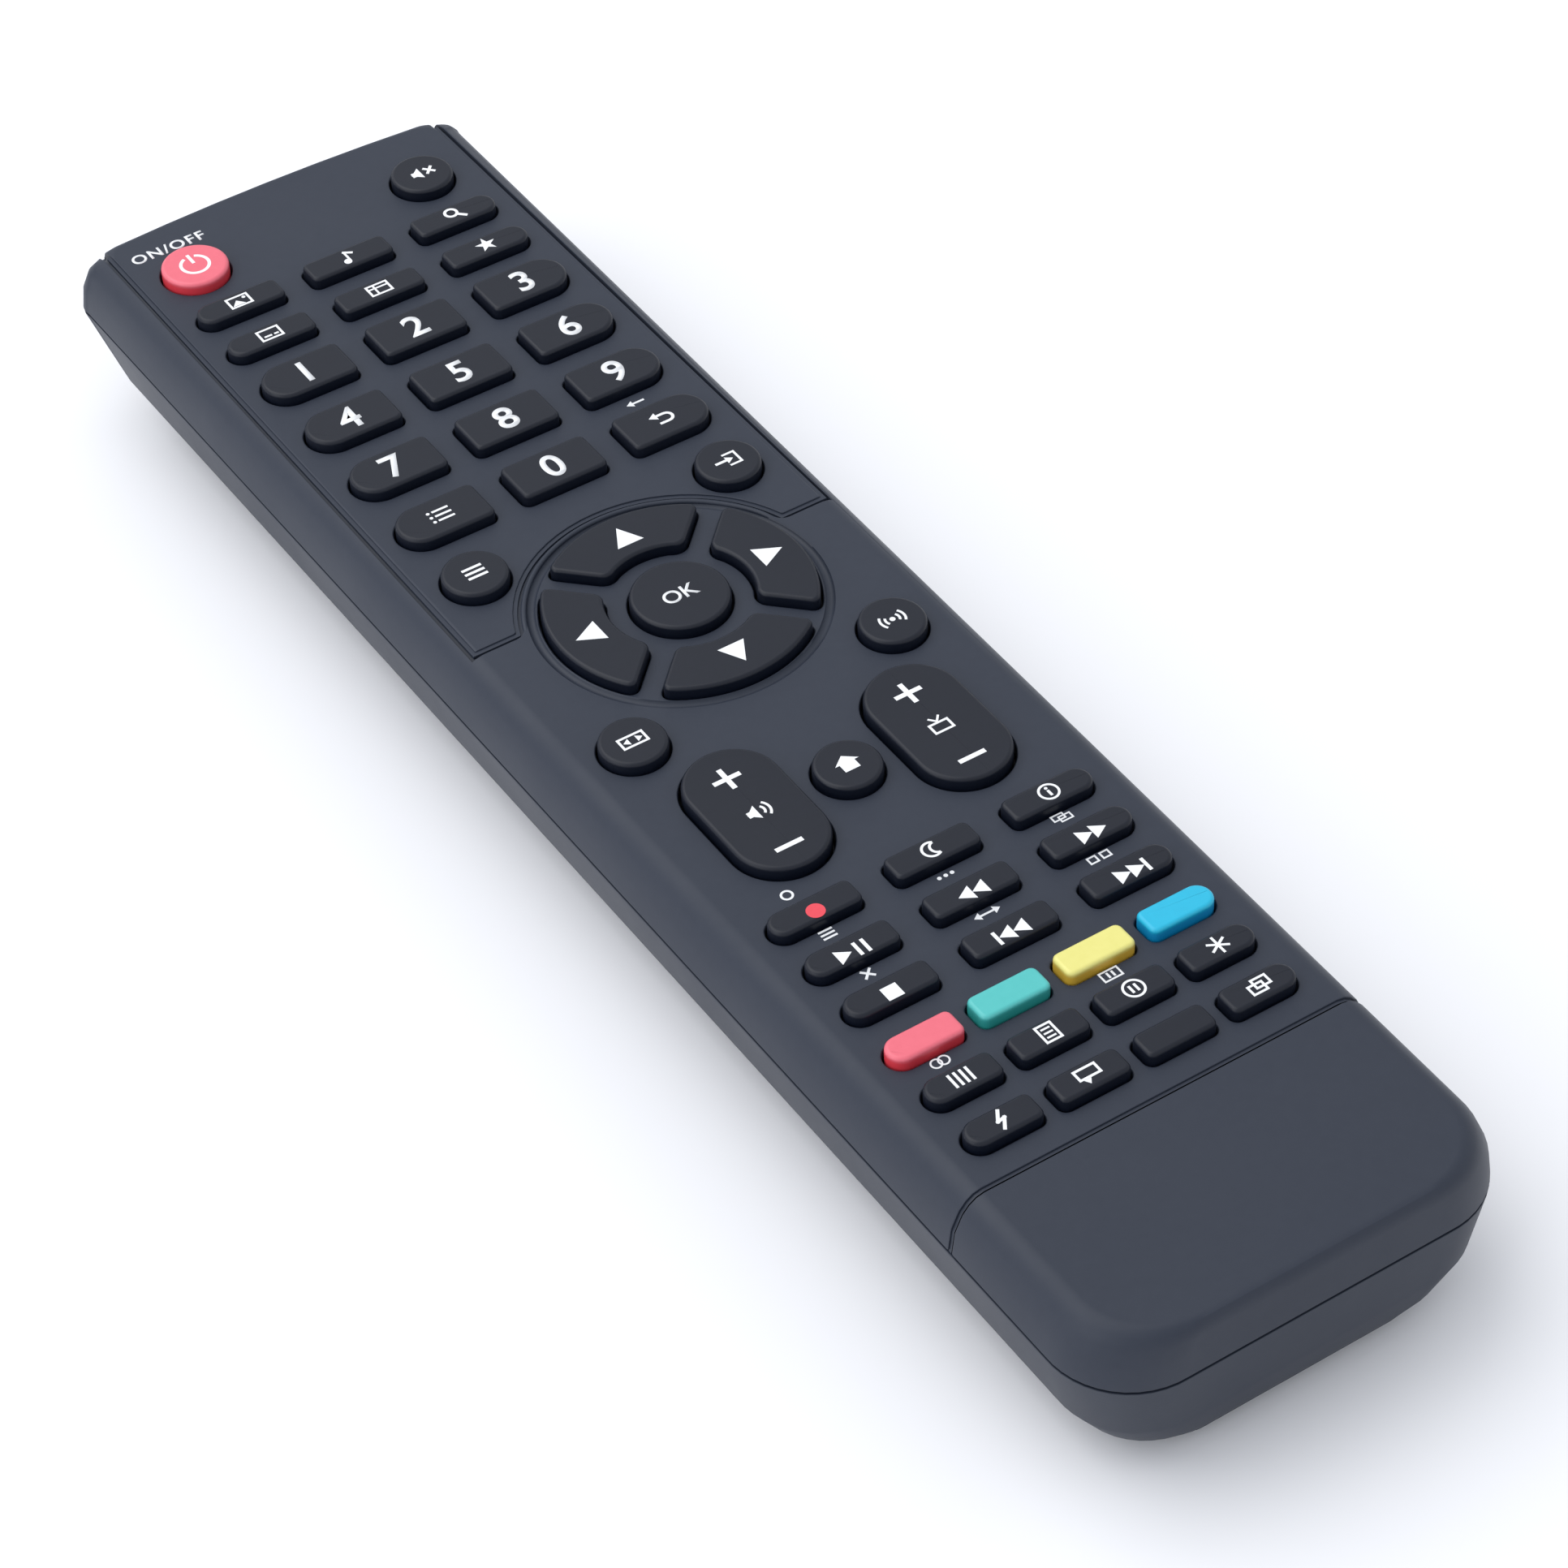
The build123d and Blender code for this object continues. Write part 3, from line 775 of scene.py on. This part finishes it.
def opening_cutter(node):
    """Prism with a key's outline and gap, whose upper end flares out like a rolled rim."""
    gap = rocker_gap if node in rockers else key_gap
    cutter = key_prism(node, gap + mouth_round, panel_top, panel_top + mouth_rise)
    start_edit(cutter)
    select_where(cutter, "FACE", lambda face: lies_at(face, panel_top))
    for step in range(mouth_steps):
        start = math.radians(90 * step / mouth_steps)
        stop = math.radians(90 * (step + 1) / mouth_steps)
        inward = mouth_round * (math.sin(stop) - math.sin(start))
        down = mouth_round * (math.cos(start) - math.cos(stop))
        bpy.ops.mesh.inset(thickness=inward, depth=0.0)
        bpy.ops.transform.translate(value=(0, 0, -down))
    bpy.ops.mesh.extrude_region_move(TRANSFORM_OT_translate={"value": (0, 0, -cut_depth)})
    end_edit()
    return cutter


plugs = [key_prism(node, plug_margin, plug_low, panel_top, rounded=False) for node in all_keys]
combine(upper_shell, join_all(plugs), "UNION")
print("plugged:", len(upper_shell.data.polygons), "faces")
cutters = [opening_cutter(node) for node in all_keys]
combine(upper_shell, join_all(cutters), "DIFFERENCE")
dress_shell(upper_shell, "base", "upper_casing")

# %% [markdown]
# ## Trims in the casing's grooves
#
# The groove along the key panel isn't a plain slot. Only its outer half is deep and dark, and the
# rest is a narrow ledge just under the panel, which shows as a second, softer line. The ledge is
# what stays of a plate with the groove's outline when the same plate, made smaller, is taken out
# of it, so both are made from a cube and a cylinder by Boolean modifiers.

# %% Trims: the key panel's ledge
panel_line = pad_outer + 2.6 * mm  # radius of the groove's middle where it passes round the pad
panel_half = 23.4 * mm
panel_foot = pad_middle.y + 5.85 * mm
panel_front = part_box("upper_casing")[1].y - 3.2 * mm
groove_half = 0.45 * mm
ledge_reach = 0.04 * mm  # past the groove's middle
ledge_top = panel_top - 0.20 * mm
ledge_edge = 0.06 * mm
overlap, plate_reach = 0.05 * mm, 1.0 * mm


def dress_trim(piece, name):
    dress(name_piece(piece, name), casing_shading, casing_grey, "base")
    print(name, len(piece.data.polygons), "faces")


def panel_plate(grown, low, high):
    """Plate with the key panel's outline, grown by a margin, with the pad's round cut out of it."""
    foot = panel_foot - grown
    middle = (foot + panel_front) / 2
    plate = add_block(0, middle, 2 * (panel_half + grown), panel_front - foot, low, high)
    round_place = (0, pad_middle.y, panel_top)
    bpy.ops.mesh.primitive_cylinder_add(
        vertices=192, radius=panel_line - grown, depth=4 * plate_reach, location=round_place
    )
    combine(plate, bpy.context.object, "DIFFERENCE")
    return plate


panel_ledge = panel_plate(ledge_reach, groove_low, ledge_top)
inner_plate = panel_plate(-groove_half - overlap, panel_top - plate_reach, panel_top + plate_reach)
combine(panel_ledge, inner_plate, "DIFFERENCE")
soften_edges(panel_ledge, ledge_edge)
dress_trim(panel_ledge, "panel_ledge")

# %% [markdown]
# Round the direction pad runs a shallow hollow. Over the half of it towards the infrared end, a
# fine raised bead lies between this hollow and the panel. The hollow is cut by a torus. The bead
# is a small circle spun through an arc round the pad's middle, with its ends drawn down into the
# casing.

# %% Trims: the hollow and the bead round the pad
hollow_line, hollow_round = pad_outer + 1.05 * mm, 0.60 * mm
hollow_height = panel_top + 0.20 * mm  # of the torus's middle, so it cuts only by its foot
bead_line, bead_round = pad_outer + 1.86 * mm, 0.34 * mm
bead_height = panel_top - 0.14 * mm
bead_start = math.radians(17)
bead_turn = math.pi - 2 * bead_start
bead_fade = math.radians(12)

bpy.ops.mesh.primitive_torus_add(
    major_radius=hollow_line,
    minor_radius=hollow_round,
    major_segments=160,
    minor_segments=20,
    location=(0, pad_middle.y, hollow_height),
)
combine(upper_shell, bpy.context.object, "DIFFERENCE")
smooth(upper_shell, casing_shading)

bead_x = bead_line * math.cos(bead_start)
bead_y = pad_middle.y + bead_line * math.sin(bead_start)
bpy.ops.mesh.primitive_circle_add(
    vertices=16,
    radius=bead_round,
    fill_type="NGON",
    location=(bead_x, bead_y, bead_height),
    rotation=(math.radians(90), 0, bead_start),
)
bead = apply_place(bpy.context.object)
start_edit(bead)
bpy.ops.mesh.spin(steps=96, angle=-bead_turn, center=(0, pad_middle.y, 0), axis=(0, 0, 1), dupli=False)
select_all()
bpy.ops.mesh.normals_make_consistent(inside=False)
end_edit()
for point in bead.data.vertices:
    angle = math.atan2(point.co.y - pad_middle.y, point.co.x)
    from_end = max(0.0, min(angle - bead_start, math.pi - bead_start - angle))
    if from_end < bead_fade:
        point.co.z -= (1 - from_end / bead_fade) ** 2 * bead_round
dress_trim(bead, "pad_bead")

# %% [markdown]
# The seam of the hand end has a ledge too. It has to follow the casing's shoulder, so it is a thin
# slice cut from a copy of the shell itself, drawn in a little and laid in the groove.

# %% Trims: the hand end's ledge
seam_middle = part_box("upper_casing")[0].y + 25.8 * mm
slice_start, slice_end = 0.35 * mm, 0.75 * mm  # past the seam's middle
slice_scale = (0.993, 1.0, 1.0)
slice_move = (0, -0.35 * mm, -0.24 * mm)


def cut_short(piece, y, away):
    """Cuts a piece across at y, drops what lies on the side of away (-1, 1), and closes it."""
    start_edit(piece)
    bpy.ops.mesh.bisect(plane_co=(0, y, 0), plane_no=(0, away, 0), use_fill=True, clear_outer=True)
    end_edit()


seam_ledge = merged_copy("upper_casing", "seam_ledge")
cut_short(seam_ledge, seam_middle + slice_end, 1)
cut_short(seam_ledge, seam_middle + slice_start, -1)
seam_ledge.scale = slice_scale
seam_ledge.location = slice_move
apply_place(seam_ledge)
dress_trim(seam_ledge, "seam_ledge")

# %% [markdown]
# ## The printed marks
#
# The digits and the plain signs are printed on the keys in white. A sign is put together from
# flat primitives: planes for bars, three-sided circles for arrows, inset circles for rings. The
# digits are text turned into a mesh. All signs of one key are joined, get the thickness of an ink
# film, and ride on that key. Shapes that overlap lie a hair apart, so that none flickers through
# another. The numbers of a sign are millimetres from the key's middle.


# %% Marks: flat shapes
def stretch_and_turn(shape, width, height, degrees):
    shape.scale = (width, height, 1.0)
    shape.rotation_euler = (0, 0, math.radians(degrees))
    return shape


def bar(x, y, width, height, degrees=0.0):
    bpy.ops.mesh.primitive_plane_add(size=mm, location=(x * mm, y * mm, 0))
    return stretch_and_turn(bpy.context.object, width, height, degrees)


def dot(x, y, radius, sides=32):
    bpy.ops.mesh.primitive_circle_add(
        vertices=sides, radius=radius * mm, fill_type="NGON", location=(x * mm, y * mm, 0)
    )
    return bpy.context.object


def arrow(x, y, width, length, degrees=0.0):
    """A three-sided dot, which is root 3 wide and 1.5 long at first, with its tip at +Y."""
    return stretch_and_turn(dot(x, y, 1.0, 3), width / 3**0.5, length / 1.5, degrees)


cap_share = 0.73  # a capital's height as a share of the font's size


def lettering(words, height, weight=0.0, spacing=1.0):
    """Text with a cap height in millimetres, thickened by a weight, its middle at the origin."""
    bpy.ops.object.text_add(location=(0, 0, 0))
    text = bpy.context.object
    text.data.body = words
    text.data.size = height / cap_share * mm
    text.data.offset = weight * mm
    text.data.space_character = spacing
    bpy.ops.object.convert(target="MESH")
    text = bpy.context.object
    bpy.ops.object.origin_set(type="ORIGIN_GEOMETRY", center="BOUNDS")
    text.location = (0, 0, 0)
    return text


# %% Marks: lines and outlines
pen = 0.38


def hollow(shape, line):
    """Turns a filled flat shape into an outline of the line's width."""
    start_edit(apply_place(shape))
    bpy.ops.mesh.inset(thickness=line * mm)
    bpy.ops.mesh.delete(type="FACE")
    end_edit()
    return shape


def outline(x, y, width, height, line=pen):
    return hollow(bar(x, y, width, height), line)


def ring(x, y, radius, line=pen):
    return hollow(dot(x, y, radius, 48), line)


def arc(x, y, radius, start, end, line=pen):
    """The part of a ring from one angle to another, counted from +X towards +Y."""

    def is_outside(face):
        place = face.calc_center_median()
        angle = math.degrees(math.atan2(place.y - y * mm, place.x - x * mm))
        return (angle - start) % 360 > end - start

    part = ring(x, y, radius, line)
    start_edit(part)
    select_where(part, "FACE", is_outside)
    bpy.ops.mesh.delete(type="FACE")
    end_edit()
    return part


def stroke(x1, y1, x2, y2, line=pen):
    """Bar from one point to another, which reaches half its width past both."""
    degrees = math.degrees(math.atan2(y2 - y1, x2 - x1))
    return bar((x1 + x2) / 2, (y1 + y2) / 2, math.hypot(x2 - x1, y2 - y1) + line, line, degrees)


# %% Marks: the ink film
film = 0.012 * mm
step_up = 0.0007 * mm
marks = {}


def lay_film(name, drawn, ink_material, place):
    """Joins flat shapes at a place and gives them the film's thickness, each a hair above the last."""
    for number, shape in enumerate(drawn):
        shape.location.z += step_up * number
        apply_place(shape)
    mark = name_piece(join_all(drawn), name)
    mark.location = place
    start_edit(apply_place(mark))
    bpy.ops.mesh.remove_doubles(threshold=0.1 * near)
    select_where(mark, "FACE", lambda face: face.normal.z < 0)
    bpy.ops.mesh.flip_normals()
    end_edit()
    run_modifier(mark, "SOLIDIFY", thickness=film, offset=1.0)
    paint(mark, ink_material)
    return mark


def print_mark(node, drawn, dx=0.0, dy=0.0, ink_material=white_print):
    """Lays drawn shapes on a key, off its middle by dx and dy, and lets them ride on it."""
    middle = middle_of(node)
    place = (middle.x + dx * mm, middle.y + dy * mm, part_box(node)[1].z - ink)
    marks[node] = lay_film(node + "_mark", drawn, ink_material, place)
    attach(marks[node], node)


# %% [markdown]
# The digit keys carry plain numbers, about six tenths as tall as the key is deep, in a bold
# upright hand.

# %% Marks: digits
digit_height = 3.95
digit_weight, digit_shift = 0.1, -0.1
for digit in "1234567890":
    print_mark("key_" + digit, [lettering(digit, digit_height, digit_weight)], digit_shift)
print("digits:", len(marks))

# %% [markdown]
# The direction keys have arrows that point away from the middle. The rockers have a plus at
# the infrared end and a minus at the hand end, and between them a loudspeaker or a screen. The
# media keys have the usual signs for their work: a red dot for record, triangles and bars for the
# others. They sit a little nearer the hand end than the key's middle.

# %% Marks: arrows, rockers and media signs
arrow_base, arrow_tip, arrow_width = 10.4, 13.6, 3.4  # the first two from the pad's middle
plus_y, minus_y, rocker_x = 5.4, -6.75, -0.2
bar_length, bar_width = 3.4, 0.62
media_drop, bold = -0.55, 0.42

for node, degrees in pad_turns.items():
    outward = Vector((-math.sin(math.radians(degrees)), math.cos(math.radians(degrees))))
    from_middle = (pad_middle - middle_of(node)).to_2d()
    place = from_middle / mm + outward * (2 * arrow_base + arrow_tip) / 3
    drawn = [arrow(0, 0, arrow_width, arrow_tip - arrow_base, degrees)]
    print_mark(node, drawn, place.x, place.y)


def speaker(x, y):
    return [bar(x - 0.8, y, 0.7, 0.9), arrow(x - 0.35, y, 2.2, 1.3, 90)]


def plus_and_minus():
    return [
        bar(rocker_x, plus_y, bar_length, bar_width),
        bar(rocker_x, plus_y, bar_width, bar_length),
        bar(rocker_x, minus_y, bar_length, bar_width),
    ]


def sideways(tips, direction):
    """Triangles in a row along X, pointing left (-1) or right (1)."""
    return [arrow(x, 0, 2.1, 1.75, -90 * direction) for x in tips]


waves = plus_and_minus() + speaker(-0.3, -0.7)
waves += [arc(rocker_x, -0.7, radius, -45, 45, 0.3) for radius in (0.95, 1.6)]
print_mark("rocker_volume", waves)
screen = plus_and_minus() + [outline(rocker_x, -1.0, 2.6, 1.7, 0.3)]
screen += [stroke(rocker_x, -0.1, rocker_x + side * 0.6, 0.6, 0.26) for side in (-1, 1)]
print_mark("rocker_program", screen)

media_marks = {
    "play_pause": lambda: sideways((-1.4,), 1) + [bar(x, 0, bold, 2.0) for x in (0.5, 1.5)],
    "rewind": lambda: sideways((-0.75, 1.0), -1),
    "fast_forward": lambda: sideways((-1.0, 0.75), 1),
    "previous": lambda: sideways((-0.55, 1.2), -1) + [bar(-1.95, 0, bold, 2.0)],
    "next": lambda: sideways((-1.2, 0.55), 1) + [bar(1.95, 0, bold, 2.0)],
    "stop": lambda: [bar(0, 0, 1.9, 1.9)],
}
for name, draw in media_marks.items():
    print_mark("key_" + name, draw(), 0.0, media_drop)
print_mark("key_record", [dot(0, 0, 1.05)], 0.0, media_drop, red_print)
print_mark("key_power", [arc(0, -0.1, 1.95, 109, 431, bold), bar(0, 1.15, bold, 1.9)])
print("marks:", len(marks))

# %% [markdown]
# Every other key has a small pictogram for its work, drawn from the same bars, dots, rings and
# arrows: a sheet for text, a moon for sleep, a frame with two lines for subtitles. A five-pointed
# star is a dot with five arrows turned round it.

# %% Marks: pictograms
fine = 0.3  # the pen for small shapes
three_lines = (-0.85, 0, 0.85)


def screen_frame():
    return outline(0, 0, 3.0, 2.2, fine)


def two_bars(x, width, height):
    return [bar(side * x, 0, width, height) for side in (-1, 1)]


def two_arrows(x, width, length):
    """An arrow to the left and one to the right."""
    return [arrow(side * x, 0, width, length, -90 * side) for side in (-1, 1)]


def star_arms():
    angles = [math.radians(90 + 72 * arm) for arm in range(5)]
    return [
        arrow(0.74 * math.cos(angle), 0.74 * math.sin(angle), 0.68, 1.0, math.degrees(angle) - 90)
        for angle in angles
    ]


pictograms = {
    "mute": lambda: speaker(-0.2, 0) + [stroke(0.6, -y, 1.5, y) for y in (0.5, -0.5)],
    "picture": lambda: [screen_frame(), arrow(-0.3, -0.4, 1.7, 1.0), dot(0.8, 0.42, 0.24, 16)],
    "sound": lambda: [dot(-0.4, -0.85, 0.5)]
    + [stroke(-0.05, -0.8, -0.05, 1, fine), stroke(-0.05, 1, 0.75, 0.5)],
    "zoom": lambda: [ring(-0.3, 0.3, 0.95), stroke(0.45, -0.45, 1.05, -1.05, 0.44)],
    "subtitle": lambda: [screen_frame(), bar(-0.4, -0.35, 1.0, fine), bar(0.7, -0.35, 0.6, fine)],
    "guide": lambda: [screen_frame(), bar(0, 0.3, 2.6, 0.26), bar(-0.45, 0, 0.26, 1.8)],
    "favourite": lambda: [dot(0, 0, 0.52, 20)] + star_arms(),
    "list": lambda: [dot(-1.25, y, 0.22, 16) for y in three_lines]
    + [bar(0.3, y, 2.1, 0.32) for y in three_lines],
    "return": lambda: [
        arc(0.35, -0.1, 0.9, -90, 90),
        bar(-0.2, 0.63, 1.1, pen),
        bar(-0.3, -0.83, 1.3, pen),
        arrow(-1.0, 0.63, 1.3, 1.0, 90),
    ],
    "menu": lambda: [bar(0, y, 2.5, pen) for y in (-0.8, 0, 0.8)],
    "source": lambda: [
        stroke(-0.1, 1.0, 1.3, 1.0, fine),
        stroke(1.3, 1.0, 1.3, -1.0, fine),
        stroke(-0.1, -1.0, 1.3, -1.0, fine),
        stroke(-1.5, 0, -0.2, 0),
        arrow(0.1, 0, 1.2, 0.9, -90),
    ],
    "enter": lambda: [lettering("OK", 2.1, 0.04)],
    "wide": lambda: [outline(0, 0, 3.3, 1.9, fine)] + two_arrows(0.7, 1.0, 0.75),
    "tuner": lambda: [dot(0, 0, 0.34, 20)]
    + [arc(0, 0, radius, side - 40, side + 40, fine) for radius in (1.0, 1.65) for side in (0, 180)],
    "home": lambda: [arrow(0, 0.55, 3.0, 1.2), bar(0, -0.45, 1.9, 1.3)],
    "sleep": lambda: [arc(-0.1, 0, 1.2, 50, 310, fine), arc(0.65, 0, 0.98, 98, 262, fine)],
    "info": lambda: [ring(0, 0, 1.25, 0.28), bar(0, -0.2, 0.32, 0.9), dot(0, 0.58, 0.2, 16)],
    "audio_mode": lambda: [bar(x, 0, 0.32, 2.0) for x in (-1.05, -0.35, 0.35, 1.05)],
    "text": lambda: [outline(0, 0, 2.1, 2.6, 0.28)] + [bar(0, y, 1.1, 0.24) for y in (-0.6, 0, 0.6)],
    "hold": lambda: [ring(0, 0, 1.3, 0.28)] + two_bars(0.33, fine, 1.1),
    "freeze": lambda: [bar(0, 0, 2.5, fine, degrees) for degrees in (30, 90, 150)],
    "quick": lambda: [
        stroke(0.35, 1.15, -0.45, -0.1),
        stroke(-0.45, -0.1, 0.45, 0.1),
        stroke(0.45, 0.1, -0.35, -1.15),
    ],
    "description": lambda: [outline(0, 0.3, 2.8, 1.6, fine), arrow(-0.5, -0.75, 0.9, 0.7, 180)],
    "depth": lambda: [outline(side * 0.4, side * 0.3, 2.0, 1.5, 0.28) for side in (-1, 1)],
}
for name, draw in pictograms.items():
    print_mark("key_" + name, draw())
print("marks:", len(marks))

# %% [markdown]
# The casing itself is printed too, beside the keys with a second use. These signs are smaller and
# belong to the base. Each has its place on the casing, in millimetres, and its drawing.

# %% Marks: signs on the casing
thin = 0.26  # the pen for signs of one shape
casing_signs = {
    "power": (-16.4, 101.0, lambda: [lettering("ON/OFF", 1.8, 0.05, 1.15)]),
    "back": (14.66, 41.9, lambda: [stroke(-0.6, 0, 0.9, 0, fine), arrow(-0.75, 0, 1.1, 0.85, 90)]),
    "ring": (-15.5, -36.4, lambda: [ring(0, 0, 0.75, thin)]),
    "list": (-15.1, -43.5, lambda: [bar(0, y, 1.7, thin) for y in (-0.55, 0, 0.55)]),
    "cross": (-14.9, -50.6, lambda: [stroke(-0.5, -y, 0.5, y, fine) for y in (0.5, -0.5)]),
    "more": (-0.3, -43.5, lambda: [dot(x, 0, 0.25, 20) for x in (-0.8, 0, 0.8)]),
    "size": (0.06, -50.5, lambda: [bar(0, 0, 1.8, thin)] + two_arrows(1.1, 1.1, 0.8)),
    "frames": (14.7, -43.4, lambda: [outline(x, -x / 1.75, 1.6, 1, 0.2) for x in (-0.35, 0.35)]),
    "pair": (14.4, -50.5, lambda: [outline(x, 0, 1.2, 1.1, 0.22) for x in (-0.8, 0.8)]),
    "still": (5.35, -64.9, lambda: [outline(0, 0, 2.4, 1.5, 0.22)] + two_bars(0.3, thin, 0.8)),
    "rings": (-15.8, -64.9, lambda: [ring(x, 0, 0.7, 0.2) for x in (-0.45, 0.45)]),
}
for name, (x, y, draw) in casing_signs.items():
    sign = lay_film("casing_sign_" + name, draw(), white_print, (x * mm, y * mm, panel_top))
    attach(sign, "base")
print("signs:", len(casing_signs))

# %% [markdown]
# ## What shows of the inside
#
# The mat, the board with its lamp, the contacts and the cells keep the shapes of the CAD model
# and get their finishes in their own material slots.

# %% Inner nodes
inner_finishes = {
    "keypad_mat": silicone,
    "circuit_board": board_green,
    "battery_contacts": contact_metal,
    "battery_cells": cell_jacket,
}
for node, material in inner_finishes.items():
    for holder in nodes[node].material_slots:
        holder.material = material
print("repainted:", len(inner_finishes))

# %% [markdown]
# ## Floor and light
#
# The ground is seamless and white, with a soft bluish shadow close to the body. A big pale plane
# stands for it. The light is a studio's: one large soft box over the far side, a weaker one from
# the left, and a bright even surround that fills the shadows.

# %% Floor
bpy.ops.mesh.primitive_plane_add(size=6.0, location=(0, 0, 0))
floor = name_piece(bpy.context.object, "floor")
floor_white, floor_tree, floor_shader = new_material("floor_white")
floor_look = {"Base Color": (0.90, 0.90, 0.92, 1.0), "Roughness": 0.85, "Specular IOR Level": 0.2}
feed(floor_tree, floor_shader, floor_look)
paint(floor, floor_white)
floor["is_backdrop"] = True


# %% Lights
def soft_box(name, place, width, height, watts, tint=(1.0, 1.0, 1.0)):
    """Rectangular area light at a place, turned to shine at the origin."""
    light = bpy.data.lights.new(name, "AREA")
    light.shape = "RECTANGLE"
    light.size = width
    light.size_y = height
    light.energy = watts
    light.color = tint
    lamp = bpy.data.objects.new(name, light)
    lamp.location = place
    lamp.rotation_euler = (-Vector(place)).to_track_quat("-Z", "Y").to_euler()
    bpy.context.scene.collection.objects.link(lamp)


soft_box("key_light", (-0.38, 0.48, 1.05), width=1.4, height=1.2, watts=9.0)
soft_box("left_light", (-1.0, -0.1, 0.45), width=0.7, height=0.6, watts=2.0, tint=(0.94, 0.96, 1.0))

world = bpy.data.worlds.new("studio")
bpy.context.scene.world = world
world.use_nodes = True
surround = world.node_tree.nodes["Background"]
feed(world.node_tree, surround, {"Color": (0.92, 0.95, 1.0, 1.0), "Strength": 0.85})
print("lights:", [light.name for light in bpy.data.lights])

# %% [markdown]
# ## Sizes, and the end
#
# The last cell prints how far the dressed object reaches past its CAD model's box.

# %% Write the sizes and finish
dressed_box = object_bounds()
past_low = max(cad - dressed for cad, dressed in zip(cad_box[0], dressed_box[0]))
past_high = max(dressed - cad for cad, dressed in zip(cad_box[1], dressed_box[1]))
print("visual box past the CAD box by, in mm:", [round(past / mm, 4) for past in (past_low, past_high)])
